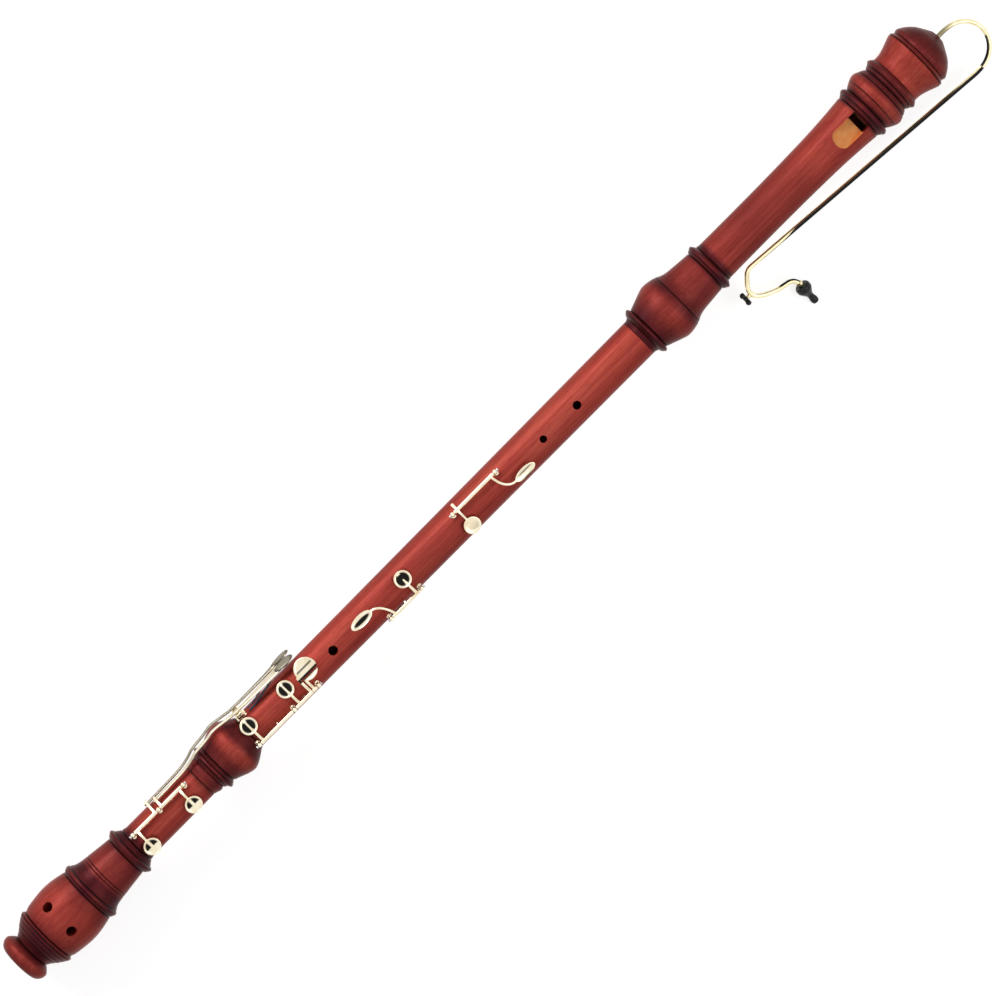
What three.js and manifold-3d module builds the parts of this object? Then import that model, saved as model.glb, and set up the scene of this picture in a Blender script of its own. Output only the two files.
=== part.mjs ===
// Great bass recorder with a crook: turned wooden foot, middle and head joints, a cap, a bent metal
// crook and the key work. Millimetres, +Z up. The body lies along X with its foot at the low end and its
// finger holes facing up, and rests on its widest turnings and on the tip of the mouthpiece.
// Angles round the body are in degrees, from +Z towards -Y, the side on which the crook runs.
import * as THREE from 'three';
import { mergeVertices } from 'three/addons/utils/BufferGeometryUtils.js';
import Module from 'manifold-3d';

const wasm = await Module();
wasm.setup();

// Fits, cutters and facets
const seatGap = 0.3;
const runningGap = 0.3;
const overrun = 8;
const woodSides = 16;
const cupSides = 14;
const metalSides = 8;
const pinSides = 6;
const wireSides = 4;
const arcSteps = 6;
const ringSteps = 12;
const leverSteps = 20;

// Lengths of the plain tubes, on which the holes and keys keep their shares of the way
const footTubeLength = 80.6;
const middleTubeLength = 519.6;
const headTubeLength = 188;

// Foot joint, from its open end up: stretches laid end to end, each with its stations along and out
const foot = {
  endRing: {
    length: 16.9,
    radius: 26.3,
    outlineShares: [[0, 0.72], [0.11, 0.87], [0.35, 0.98], [0.6, 1], [0.84, 0.88], [1, 0.75]],
  },
  flare: { length: 19.8, radius: 32.9, outlineShares: [[0.2, 0.66], [0.55, 0.83], [1, 1]] },
  bell: {
    length: 54.5,
    radius: 34.5,
    outlineShares: [
      [0.05, 0.89], [0.14, 0.93], [0.31, 0.972], [0.5, 1], [0.57, 1], [0.75, 0.973], [1, 0.885],
    ],
  },
  bellBead: { length: 9.4, radius: 32.9, outlineShares: [[0.42, 0.99], [0.56, 1], [1, 0.915]] },
  waist: { length: 42.3, radius: 27.7, outlineShares: [[0.11, 1], [0.5, 0.91], [1, 0.82]] },
  waistBead: {
    length: 18.8,
    radius: 27.3,
    outlineShares: [[0.24, 0.97], [0.34, 1], [0.52, 0.85], [0.78, 0.73]],
  },
  tube: { length: footTubeLength, radius: 18.8, outlineShares: [[0, 1], [1, 0.99]] },
  topRing: { length: 11.2, radius: 20.7, outlineShares: [[0.35, 0.95], [0.65, 1], [1, 0.94]] },
};

// Middle joint: socket rim, socket bulb and the long tube that carries the finger holes
const middle = {
  rim: {
    length: 10.3,
    radius: 25.9,
    outlineShares: [[0, 0.8], [0.27, 0.87], [0.48, 0.99], [0.62, 0.99], [1, 0.87]],
  },
  bulb: {
    length: 43.3,
    radius: 29.6,
    outlineShares: [
      [0.13, 0.824], [0.35, 0.953], [0.5, 1], [0.57, 0.99], [0.68, 0.922], [0.92, 0.69],
    ],
  },
  tube: { length: middleTubeLength, radius: 20.2, outlineShares: [[0, 0.931], [1, 1]] },
};

// Head joint: socket rim and bulb, shoulder, the tube that widens to the window, and three rings
const head = {
  rim: {
    length: 13.1,
    radius: 27.3,
    outlineShares: [[0, 0.745], [0.3, 0.765], [0.62, 0.97], [0.78, 1], [1, 0.894]],
  },
  bulb: {
    length: 38.5,
    radius: 32.2,
    outlineShares: [[0.2, 0.848], [0.42, 0.945], [0.58, 1], [0.72, 0.995], [1, 0.919]],
  },
  shoulder: {
    length: 36.7,
    radius: 27.5,
    outlineShares: [[0.1, 1], [0.25, 0.938], [0.55, 0.895], [1, 0.845]],
  },
  bead: { length: 15, radius: 26.8, outlineShares: [[0.28, 0.975], [0.42, 1], [0.66, 0.85], [1, 0.806]] },
  tube: {
    length: headTubeLength,
    radius: 25.7,
    outlineShares: [[0.12, 0.833], [0.4, 0.833], [0.62, 0.853], [0.8, 0.893], [1, 1]],
  },
  topBead: {
    length: 12.2,
    radius: 29.6,
    outlineShares: [[0.24, 0.889], [0.52, 0.985], [0.68, 1], [1, 0.889]],
  },
  topRing: {
    length: 25.4,
    radius: 32.2,
    outlineShares: [[0.15, 0.891], [0.33, 0.965], [0.52, 1], [0.7, 0.957], [1, 0.832]],
  },
  endBead: { length: 11.8, radius: 31.2, outlineShares: [[0.42, 0.95], [0.62, 1], [0.82, 0.96], [1, 0.9]] },
};

// Cap over the block, closed by a dome that the crook enters
const cap = {
  bowl: {
    length: 28.3,
    radius: 34.5,
    outlineShares: [[0, 0.805], [0.23, 0.81], [0.47, 0.862], [0.9, 0.99], [1, 1]],
  },
  dome: {
    length: 29.2,
    radius: 33.1,
    outlineShares: [
      [0.1, 0.975], [0.225, 1], [0.37, 0.93], [0.54, 0.805], [0.7, 0.645], [0.84, 0.44], [1, 0.2],
    ],
  },
};
const capWallLength = 17;
const capChamberRadius = 17.5;

// Bores, sockets and tenons
const footBoreRadius = 9.5;
const footMouthRadius = 11.5;
const footMouthLength = 3;
const lowBoreRadius = 11;
const highBoreRadius = 13.6;
const headBoreRadius = 14.5;
const corkDepth = 1.5;
const footTenon = { radius: 15, length: 36, corkFromShare: 0.194, corkToShare: 0.806 };
const middleTenon = { radius: 17.4, length: 44, corkFromShare: 0.204, corkToShare: 0.796 };
const capTenon = { radius: 20.4, length: 17, corkFromShare: 0.235, corkToShare: 0.765 };

// Finger holes and thumb hole, each at its share of the middle tube
const fingerHoles = {
  rightHand: { atShare: 0.2117, angle: -1, radius: 4.6 },
  secondLeft: { atShare: 0.7488, angle: 0, radius: 3.6 },
  firstLeft: { atShare: 0.8349, angle: 0, radius: 4.2 },
  thumb: { atShare: 0.8584, angle: 180, radius: 3.8 },
};

// Vents in the bell, from its own start, to either side of the turned foot's centre line
const vents = { at: 23, centreAngle: -14, halfSpreadAngle: 29, radius: 5.1 };

// Window, ramp and windway of the head, and the block under the windway
const windowCut = { length: 7.6, width: 20, rampLength: 26, edgeRadius: 15.4 };
const windway = { height: 1.9, halfAngle: 40 };
const blockChamfer = 1.2;

// Key work common to all keys
const key = {
  axisHeight: 4.5,
  tubeRadius: 1.9,
  rodRadius: 0.9,
  rodHeadRadius: 1.5,
  rodHeadLength: 1.3,
  postBallRadius: 2.3,
  postStemRadius: 1.4,
  postFootRadius: 2.5,
  postFootHeight: 0.8,
  postPinRadius: 1.1,
  postPinLength: 4,
  postSeatDepth: 0.3,
  armWidth: 2.5,
  armThickness: 1.8,
  armDrop: 0.6,
  cupRadius: 8.5,
  cupHeight: 2.1,
  cupRimWidth: 1,
  cupDish: 0.6,
  padRadius: 7.4,
  padThickness: 2.8,
  seatDepth: 1.6,
  seatMargin: 0.9,
  toneHoleRadius: 5.2,
  touchThickness: 1.9,
  touchDish: 0.8,
  touchFloorShare: 0.5,
  touchClearance: 1.4,
  touchArmRadius: 1.15,
  springRadius: 0.4,
  springHeight: 1.85,
  catchWidth: 1.2,
};

// Third finger's key of the left hand; its own places are counted from its share of the middle tube
const ringKey = {
  startShare: 0.5373,
  hingeAngle: -28,
  cupAngle: 23,
  lift: 3.6,
  lowPostAt: 0,
  cupAt: 6.1,
  touchArmAt: 50.2,
  highPostAt: 56.2,
  touchAt: 76.1,
  touchHalfLength: 12.2,
  touchHalfWidth: 5.1,
  tailAngle: -52,
  armEndAngle: 10,
};

// First finger's key of the right hand
const indexKey = {
  startShare: 0.3264,
  hingeAngle: 50,
  cupAngle: -10,
  lift: 3.6,
  lowPostAt: 0,
  touchArmAt: 6.2,
  cupAt: 33.9,
  highPostAt: 40,
  touchAt: -20.6,
  touchHalfLength: 12.7,
  touchHalfWidth: 5.7,
  tailAngle: 50,
  armEndAngle: -10,
};

// Double key of the right hand's third finger: two cups on one hinge line, one split round touch
const doubleKey = {
  startShare: 0,
  hingeAngle: 33,
  cupAngle: -22,
  lift: 3.6,
  lowPostAt: -1.2,
  farCupAt: 4.6,
  middlePostAt: 45.4,
  nearCupAt: 53.1,
  nearArmAt: 68.2,
  farArmAt: 72.4,
  highPostAt: 77.6,
  touchAt: 79.9,
  touchRadius: 11.3,
  splitOffset: 5.6,
  splitGap: 1.2,
  farTouchAngle: -3,
  armEndAngle: -38,
};

// Two keys of the foot joint, from the start of the foot tube
const footKeys = {
  hingeAngle: -31.6,
  cupAngle: 21.5,
  lift: 4.4,
  lowPostAt: 1.2,
  lowCupAt: 7,
  lowLugAt: 31,
  middlePostAt: 35.3,
  highLugAt: 39.6,
  highCupAt: 62,
  highPostAt: 67.8,
  lugMarginAngle: 6,
};

// Two long levers of the little finger, on the middle joint, reaching down over the socket to the foot
const lever = {
  pivotAt: 5.6,
  pivotHeight: 7,
  barRise: 10.7,
  barWidth: 3,
  barThickness: 2,
  bulbClearance: 2.7,
  footClearance: 2.8,
  lugGap: 0.35,
  hubRadius: 2.4,
  pinRadius: 0.9,
  touchFromPivot: 63.5,
  touchRise: 1.6,
  touchHalfLength: 11,
  touchHalfWidth: 4.7,
  touchOffset: 0.9,
  touchDome: 2,
  tipBeyondLug: 3.2,
  ringShare: 0.5,
  rimShare: 0.5,
  bulbRiseShare: 0.25,
  bulbCrestShare: 0.5,
  bulbFallShare: 0.8,
  touchEndShare: 0.5,
};
const outerLeverAngle = -73;
const innerLeverAngle = -56.5;
const saddle = {
  length: 7,
  stemHalfWidth: 2.1,
  cheek: 1.2,
  footLength: 11,
  footHeight: 1.3,
  neckHeight: 3.2,
};
const leverSpring = {
  width: 2.4,
  thickness: 0.6,
  start: 9,
  reach: 36,
  lineShares: [[0, 0], [0.17, 0], [0.67, 0.5], [1, 1]],
};

// Thumb rest and sling ring on the back
const thumbRest = {
  atShare: 0.2675,
  length: 24,
  halfAngle: 22,
  thickness: 1.6,
  height: 11,
  width: 9,
  hookShares: [[-0.87, 0], [0, 0], [0.5, 0.5], [0.33, 0.92], [-0.25, 1]],
};
const slingRing = { atShare: 0.5158, radius: 4.9, wireRadius: 1.1, footRadius: 4, footHeight: 1.6 };

// Crook: a tube that leaves the cap, turns back along the head and bends out to the mouthpiece
const crook = {
  radius: 2.5,
  boreRadius: 1.7,
  insideCap: 20,
  outOfCap: 9.4,
  loopRadius: 28.2,
  loopAngle: 185.2,
  runLength: 283.8,
  elbowRadius: 9.5,
  elbowAngle: 56.3,
  dropLength: 11,
  heelRadius: 11.4,
  heelAngle: 91.8,
  linkLength: 5.7,
  swellRadius: 40.8,
  swellAngle: 33.5,
  neckRadius: 9.8,
  neckHeading: 90,
  leadLength: 9.7,
  bendStepAngle: 23,
};
const crookCork = { wall: 1.5, length: 13 };

// Mouthpiece that pushes over the end of the crook
const mouthpiece = {
  length: 24,
  radius: 7.9,
  socketDepth: 7.5,
  boreRadius: 1.6,
  outlineShares: [
    [0, 0.8], [0.1, 1], [0.24, 1], [0.42, 0.7], [0.56, 0.45], [0.7, 0.42], [0.82, 0.5], [0.96, 0.46],
  ],
};

// Drain screw at the crook's heel, with a two-lobed thumb piece
const drain = {
  stubRadius: 2.1,
  stubLength: 3.4,
  spigotRadius: 0.9,
  spigotLength: 2.4,
  hubLength: 5.6,
  collarLength: 0.8,
  barrelRadius: 2.1,
  lobeRadius: 2.9,
  lobeSpread: 4.6,
};

// Colours and finishes
const finishes = {
  wood: { color: 0xa8402e, roughness: 0.38, metalness: 0 },
  block: { color: 0xb98a5e, roughness: 0.7, metalness: 0 },
  cork: { color: 0xc39a6b, roughness: 0.9, metalness: 0 },
  brass: { color: 0xd9c38c, roughness: 0.25, metalness: 1 },
  steel: { color: 0x9aa0a6, roughness: 0.35, metalness: 1 },
  pad: { color: 0xd8cfc0, roughness: 0.85, metalness: 0 },
  black: { color: 0x17171a, roughness: 0.35, metalness: 0 },
};

// Lengths that follow from the stretches
const lengthOf = (stretches) => Object.values(stretches).reduce((sum, stretch) => sum + stretch.length, 0);
const footLength = lengthOf(foot);
const footTubeStart = footLength - foot.topRing.length - footTubeLength;
const middleStart = footLength + seatGap;
const middleTubeStart = middleStart + middle.rim.length + middle.bulb.length;
const middleEnd = middleTubeStart + middleTubeLength;
const headStart = middleEnd + seatGap;
const windowEnd = headStart + head.rim.length + head.bulb.length + head.shoulder.length + head.bead.length
  + headTubeLength;
const headEnd = headStart + lengthOf(head);
const capStart = headEnd + seatGap;
const capEnd = capStart + lengthOf(cap);

// Place on the middle tube at a share of its length
const onMiddleTube = (share) => middleTubeStart + share * middleTubeLength;

const radians = THREE.MathUtils.degToRad;
const degrees = THREE.MathUtils.radToDeg;
const facetReach = Math.cos(Math.PI / woodSides);

// Surface stations of a turned piece
function stations(stretches, start) {
  const points = [];
  let from = start;
  for (const { length, radius, outlineShares } of Object.values(stretches)) {
    for (const [along, out] of outlineShares) {
      points.push([from + along * length, out * radius]);
    }
    from += length;
  }
  return points;
}

// Radius of the wood at a place along the body
function woodRadius(at) {
  const surface = at < middleStart ? stations(foot, 0) : stations(middle, middleStart);
  const next = surface.findIndex(([along]) => along > at);
  const [fromAlong, fromOut] = surface[next - 1];
  const [toAlong, toOut] = surface[next];
  return fromOut + ((toOut - fromOut) * (at - fromAlong)) / (toAlong - fromAlong);
}

// Point of the cross-section at an angle and a radius, as [y, z]
function around(angle, radius) {
  return [-radius * Math.sin(radians(angle)), radius * Math.cos(radians(angle))];
}

// Distance between two places of the cross-section at one radius
function chord(angleA, angleB, radius) {
  return 2 * radius * Math.sin(radians(Math.abs(angleA - angleB)) / 2);
}

// Solids from closed meshes, and back
function toSolid(geometry) {
  const bare = geometry.clone();
  for (const name of Object.keys(bare.attributes)) {
    if (name !== 'position') bare.deleteAttribute(name);
  }
  const merged = mergeVertices(bare);
  const corner = merged.index.array;
  const place = merged.attributes.position.array;
  const triangles = [];
  let volume = 0;
  for (let i = 0; i < corner.length; i += 3) {
    const [a, b, c] = [corner[i], corner[i + 1], corner[i + 2]];
    if (a !== b && b !== c && c !== a) {
      triangles.push([a, b, c]);
      const [p, q, r] = [a, b, c].map((at) => new THREE.Vector3().fromArray(place, 3 * at));
      volume += p.dot(q.cross(r));
    }
  }
  const facing = triangles.map(([a, b, c]) => (volume > 0 ? [a, b, c] : [a, c, b]));
  const triVerts = new Uint32Array(facing.flat());
  return new wasm.Manifold(new wasm.Mesh({ numProp: 3, vertProperties: new Float32Array(place), triVerts }));
}

function toGeometry(solid) {
  const mesh = solid.getMesh();
  const geometry = new THREE.BufferGeometry();
  geometry.setAttribute('position', new THREE.BufferAttribute(new Float32Array(mesh.vertProperties), 3));
  geometry.setIndex(new THREE.BufferAttribute(new Uint32Array(mesh.triVerts), 1));
  geometry.computeVertexNormals();
  return geometry;
}

function join(...geometries) {
  return toGeometry(geometries.map(toSolid).reduce((sum, solid) => sum.add(solid)));
}

function cut(geometry, ...tools) {
  return toGeometry(tools.map(toSolid).reduce((rest, tool) => rest.subtract(tool), toSolid(geometry)));
}

function common(geometryA, geometryB) {
  return toGeometry(toSolid(geometryA).intersect(toSolid(geometryB)));
}

// Turned piece about X, from a closed outline of [along, out]
function turned(outline, sides = woodSides) {
  const points = outline.map(([along, out]) => new THREE.Vector2(out, along));
  return new THREE.LatheGeometry(points, sides, Math.PI / sides).rotateZ(-Math.PI / 2);
}

// Turned piece about Z, from an outline of [up, out]
function turnedUpright(outline, sides = metalSides) {
  const points = outline.map(([up, out]) => new THREE.Vector2(out, up));
  return new THREE.LatheGeometry(points, sides).rotateX(Math.PI / 2);
}

// Plain round bar about X between two places
function barAlong(from, to, radius, sides = metalSides) {
  return turned([[from, 0], [from, radius], [to, radius], [to, 0]], sides);
}

// Plain round peg about Z between two heights
function peg(from, to, radius, sides = metalSides) {
  return turnedUpright([[from, 0], [from, radius], [to, radius], [to, 0]], sides);
}

// Outline of [x, z] points, given a width in Y and centred on it
function slab(outline, width) {
  const shape = new THREE.Shape(outline.map(([x, z]) => new THREE.Vector2(x, z)));
  const geometry = new THREE.ExtrudeGeometry(shape, { depth: width, bevelEnabled: false });
  return geometry.rotateX(Math.PI / 2).translate(0, width / 2, 0);
}

// Outline of [y, z] points, given a width in X and centred on a place along the body
function crossSlab(outline, at, width) {
  const shape = new THREE.Shape(outline.map(([y, z]) => new THREE.Vector2(y, z)));
  const geometry = new THREE.ExtrudeGeometry(shape, { depth: width, bevelEnabled: false });
  const toBody = new THREE.Matrix4().makeBasis(
    new THREE.Vector3(0, 1, 0),
    new THREE.Vector3(0, 0, 1),
    new THREE.Vector3(1, 0, 0),
  );
  return geometry.applyMatrix4(toBody).translate(at - width / 2, 0, 0);
}

// Band round the body's axis from one angle to another
function archBand(fromAngle, toAngle, innerRadius, thickness, at, width) {
  const angleAt = (step) => fromAngle + ((toAngle - fromAngle) * step) / arcSteps;
  const steps = Array.from({ length: arcSteps + 1 }, (_, step) => step);
  const inner = steps.map((step) => around(angleAt(step), innerRadius));
  const outer = steps.map((step) => around(angleAt(step), innerRadius + thickness));
  return crossSlab([...inner, ...outer.reverse()], at, width);
}

// Curve that passes through its points with one step between each
class StationCurve extends THREE.Curve {
  constructor(points) {
    super();
    this.points = points;
  }

  getPoint(share) {
    const place = share * (this.points.length - 1);
    const from = Math.min(Math.floor(place), this.points.length - 2);
    return this.points[from].clone().lerp(this.points[from + 1], place - from);
  }

  getPointAt(share) {
    return this.getPoint(share);
  }

  getTangentAt(share) {
    const place = Math.round(share * (this.points.length - 1));
    const before = this.points[Math.max(place - 1, 0)];
    const after = this.points[Math.min(place + 1, this.points.length - 1)];
    return after.clone().sub(before).normalize();
  }
}

// Round wire or tube along points, with a bore if one is given
function swept(points, radius, boreRadius = 0, sides = metalSides) {
  const ring = (size) => Array.from({ length: sides }, (_, corner) => {
    const turn = (2 * Math.PI * corner) / sides;
    return new THREE.Vector2(size * Math.cos(turn), size * Math.sin(turn));
  });
  const shape = new THREE.Shape(ring(radius));
  if (boreRadius > 0) shape.holes.push(new THREE.Path(ring(boreRadius)));
  const extrudePath = new StationCurve(points);
  return new THREE.ExtrudeGeometry(shape, { steps: points.length - 1, bevelEnabled: false, extrudePath });
}

// Named mesh with its own material
function piece(name, geometry, finish) {
  const mesh = new THREE.Mesh(geometry, new THREE.MeshStandardMaterial(finishes[finish]));
  mesh.name = name;
  return mesh;
}

// Group whose own axis stands at a place of the cross-section; its pieces keep the body's coordinates
function pivotGroup(name, [y, z], pieces) {
  const group = new THREE.Group();
  group.name = name;
  group.position.set(0, y, z);
  for (const mesh of pieces) {
    mesh.position.set(0, -y, -z);
    group.add(mesh);
  }
  return group;
}

// Turns a geometry about a line along X through a place of the cross-section
function turnAbout(geometry, [y, z], angle) {
  return geometry.translate(0, -y, -z).rotateX(radians(angle)).translate(0, y, z);
}

// Tenon that stands out of a shoulder, with a groove for its cork
function tenonOutline(shoulder, tenon) {
  const grooveStart = shoulder + tenon.corkFromShare * tenon.length;
  const grooveEnd = shoulder + tenon.corkToShare * tenon.length;
  const grooveRadius = tenon.radius - corkDepth;
  const end = shoulder + tenon.length;
  return [
    [shoulder, tenon.radius],
    [grooveStart, tenon.radius],
    [grooveStart, grooveRadius],
    [grooveEnd, grooveRadius],
    [grooveEnd, tenon.radius],
    [end, tenon.radius],
  ];
}

// Cork ring that lies in a tenon's groove
function tenonCork(name, shoulder, tenon) {
  const from = shoulder + tenon.corkFromShare * tenon.length + seatGap;
  const to = shoulder + tenon.corkToShare * tenon.length - seatGap;
  const inside = tenon.radius - corkDepth + seatGap;
  const outline = [[from, inside], [from, tenon.radius], [to, tenon.radius], [to, inside], [from, inside]];
  return piece(name, turned(outline), 'cork');
}

// Cutter for a round hole from the axis out through the wood
function radialHole({ at, angle, radius }) {
  return peg(0, foot.bell.radius + overrun, radius, metalSides).translate(at, 0, 0).rotateX(radians(angle));
}

// Cutters under a key's cup: the flat seat of the pad and the tone hole
function toneHoleCutters(at, angle) {
  const seat = woodRadius(at) - key.seatDepth;
  const spotFace = peg(seat, seat + overrun, key.cupRadius + key.seatMargin, cupSides).translate(at, 0, 0);
  return [spotFace.rotateX(radians(angle)), radialHole({ at, angle, radius: key.toneHoleRadius })];
}

// Hinge line of a key, level with the wood half way between its posts
function hingeLine(from, to, angle) {
  const radius = woodRadius((from + to) / 2) + key.axisHeight;
  return { from, to, angle, radius, place: around(angle, radius) };
}

// Cutters under a post: its spot face and the hole for its pin
function postCutters(at, angle) {
  const seat = woodRadius(at) - key.postSeatDepth;
  const bottom = seat - key.postPinLength - seatGap;
  return [
    peg(seat, seat + overrun, key.postFootRadius + runningGap),
    peg(bottom, seat + overrun, key.postPinRadius + seatGap, pinSides),
  ].map((cutter) => cutter.translate(at, 0, 0).rotateX(radians(angle)));
}

// Post with a flared foot and a round head that carries a hinge rod
function hingePost(name, at, line) {
  const seat = woodRadius(at) - key.postSeatDepth + seatGap;
  const ball = key.postBallRadius;
  const ballFoot = Math.sqrt(ball * ball - key.postStemRadius * key.postStemRadius);
  const outline = [
    [seat - key.postPinLength, 0],
    [seat - key.postPinLength, key.postPinRadius],
    [seat, key.postPinRadius],
    [seat, key.postFootRadius],
    [seat + key.postFootHeight, key.postStemRadius],
    [line.radius - ballFoot, key.postStemRadius],
    [line.radius, ball],
    [line.radius + ball * Math.SQRT1_2, ball * Math.SQRT1_2],
    [line.radius + ball, 0],
  ];
  const hole = barAlong(-overrun, overrun, key.rodRadius + runningGap, pinSides).translate(0, 0, line.radius);
  const post = cut(turnedUpright(outline), hole);
  return piece(name, post.translate(at, 0, 0).rotateX(radians(line.angle)), 'brass');
}

// Rod through its posts, with a screw head outside each end
function hingeRod(name, line) {
  const headFrom = line.from - key.postBallRadius - runningGap;
  const headTo = line.to + key.postBallRadius + runningGap;
  const outline = [
    [headFrom - key.rodHeadLength, 0],
    [headFrom - key.rodHeadLength, key.rodHeadRadius],
    [headFrom, key.rodHeadRadius],
    [headFrom, key.rodRadius],
    [headTo, key.rodRadius],
    [headTo, key.rodHeadRadius],
    [headTo + key.rodHeadLength, key.rodHeadRadius],
    [headTo + key.rodHeadLength, 0],
  ];
  return piece(name, turned(outline, metalSides).translate(0, ...line.place), 'steel');
}

// Bar on a hinge line: the plain tube of a key, or the cutter that clears its rod
function onHinge(from, to, radius, line) {
  return barAlong(from, to, radius).translate(0, ...line.place);
}

// Round bar across the body, level with its axis, at a place along and a height
function crossBar(at, height, radius, length) {
  return new THREE.CylinderGeometry(radius, radius, length, metalSides).translate(at, 0, height);
}

// Shallow cup at its closed height, with a rim round a dished face
function keyCup(at, angle) {
  const base = woodRadius(at) - key.seatDepth + key.padThickness + 2 * seatGap;
  const top = base + key.cupHeight;
  const inside = key.cupRadius - key.cupRimWidth;
  const outline = [
    [base, 0],
    [base, key.cupRadius],
    [top, key.cupRadius],
    [top, inside],
    [top - key.cupDish, inside - key.cupDish],
    [top - key.cupDish, 0],
  ];
  return turnedUpright(outline, cupSides).translate(at, 0, 0).rotateX(radians(angle));
}

// Pad under a cup, at its closed height
function keyPad(at, angle) {
  const base = woodRadius(at) - key.seatDepth + seatGap;
  const pad = peg(base, base + key.padThickness, key.padRadius, cupSides);
  return pad.translate(at, 0, 0).rotateX(radians(angle));
}

// Inside radius of the arms that lie over the body at a place
function armRadius(at) {
  return woodRadius(at) + key.axisHeight - key.armDrop - key.armThickness / 2;
}

// Arm over the body from one angle to another
function keyArm(at, fromAngle, toAngle) {
  return archBand(fromAngle, toAngle, armRadius(at), key.armThickness, at, key.armWidth);
}

// Oval plate with a dished top, standing at a height
function dishedPlate(halfLength, halfWidth, base) {
  const top = base + key.touchThickness;
  const inside = halfLength - key.cupRimWidth;
  const outline = [
    [base, 0],
    [base, halfLength],
    [top, halfLength],
    [top, inside],
    [top - key.touchDish, key.touchFloorShare * inside],
    [top - key.touchDish, 0],
  ];
  return turnedUpright(outline, cupSides).scale(1, halfWidth / halfLength, 1);
}

// Round arm that leaves a hinge line square and bends along the body to a touch plate
function touchArm(fromAt, toAt, line, toAngle) {
  const toRadius = woodRadius(toAt) + key.touchClearance + key.touchThickness / 2;
  const points = Array.from({ length: arcSteps + 1 }, (_, step) => {
    const share = step / arcSteps;
    const turn = (share * Math.PI) / 2;
    const at = fromAt + (toAt - fromAt) * (1 - Math.cos(turn));
    const angle = line.angle + (toAngle - line.angle) * Math.sin(turn);
    const [y, z] = around(angle, line.radius + (toRadius - line.radius) * share);
    return new THREE.Vector3(at, y, z);
  });
  return swept(points, key.touchArmRadius);
}

// Small peg on a hinge tube, on the side from which it presses the needle spring
function springCatch(at, line) {
  const side = Math.sign(line.angle);
  const near = side * (key.springRadius + seatGap);
  const far = near + side * key.catchWidth;
  const low = key.springHeight - key.axisHeight;
  const block = crossSlab([[near, low], [far, low], [far, 0], [near, 0]], at, key.catchWidth);
  return block.rotateX(radians(line.angle)).translate(0, ...line.place);
}

// Needle spring from the stem of a post, along the wood to a key's catch
function needleSpring(name, postAt, catchAt, line) {
  const from = postAt + key.postStemRadius + seatGap;
  const wire = barAlong(from, catchAt + key.catchWidth, key.springRadius, wireSides);
  const height = line.radius - key.axisHeight + key.springHeight;
  return piece(name, wire.translate(0, ...around(line.angle, height)), 'steel');
}

// Angle by which a key opens from its closed height
function openingAngle(set, line) {
  const arm = chord(set.hingeAngle, set.cupAngle, line.radius);
  return Math.sign(set.hingeAngle - set.cupAngle) * degrees(Math.asin(set.lift / arm));
}

// Places at which a hinge tube starts and ends beside its posts
function tubeSpan(from, to) {
  const clear = key.postBallRadius + runningGap;
  return [from + clear, to - clear];
}

// Key body, bored for its rod, and its pad, both opened about their hinge line
function openedKey(name, line, angle, parts, padParts, extras = []) {
  const clearance = onHinge(line.from, line.to, key.rodRadius + runningGap, line);
  const body = piece(name, turnAbout(cut(join(...parts), clearance), line.place, angle), 'brass');
  const pad = piece(`${name}_pad`, turnAbout(padParts, line.place, angle), 'pad');
  return pivotGroup(`${name}_pivot`, line.place, [body, pad, ...extras]);
}

// Key with one cup and one oval touch on the middle joint
function fingerKey(name, set) {
  const [low, high, cupAt, armAt, touchAt] = [
    set.lowPostAt, set.highPostAt, set.cupAt, set.touchArmAt, set.touchAt,
  ].map((at) => onMiddleTube(set.startShare) + at);
  const line = hingeLine(low, high, set.hingeAngle);
  const nearEnd = touchAt + Math.sign(armAt - touchAt) * (set.touchHalfLength - key.cupRimWidth);
  const catchAt = (cupAt + armAt) / 2;
  const plateBase = woodRadius(touchAt) + key.touchClearance;
  const plate = dishedPlate(set.touchHalfLength, set.touchHalfWidth, plateBase);
  const parts = [
    onHinge(...tubeSpan(low, high), key.tubeRadius, line),
    keyCup(cupAt, set.cupAngle),
    keyArm(cupAt, set.tailAngle, set.armEndAngle),
    plate.translate(touchAt, 0, 0).rotateX(radians(set.cupAngle)),
    touchArm(armAt, nearEnd, line, set.cupAngle),
    springCatch(catchAt, line),
  ];
  return [
    openedKey(name, line, openingAngle(set, line), parts, keyPad(cupAt, set.cupAngle)),
    hingeRod(`${name}_rod`, line),
    hingePost(`${name}_low_post`, low, line),
    hingePost(`${name}_high_post`, high, line),
    needleSpring(`${name}_spring`, low, catchAt, line),
  ];
}

// Half plates of the split touch: the far key's on the hinge side, the near key's beyond it
function splitTouch(onHingeSide) {
  const { touchRadius, splitOffset, splitGap } = doubleKey;
  const at = onMiddleTube(doubleKey.startShare) + doubleKey.touchAt;
  const base = armRadius(at) - key.touchThickness / 2;
  const edge = -splitOffset - ((onHingeSide ? 1 : -1) * splitGap) / 2;
  const reach = touchRadius + overrun;
  const side = onHingeSide ? -reach : reach;
  const top = base + overrun;
  const half = crossSlab([[edge, 0], [side, 0], [side, top], [edge, top]], 0, 2 * reach);
  const plate = common(dishedPlate(touchRadius, touchRadius, base), half);
  return plate.translate(at, 0, 0).rotateX(radians(doubleKey.cupAngle));
}

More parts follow.
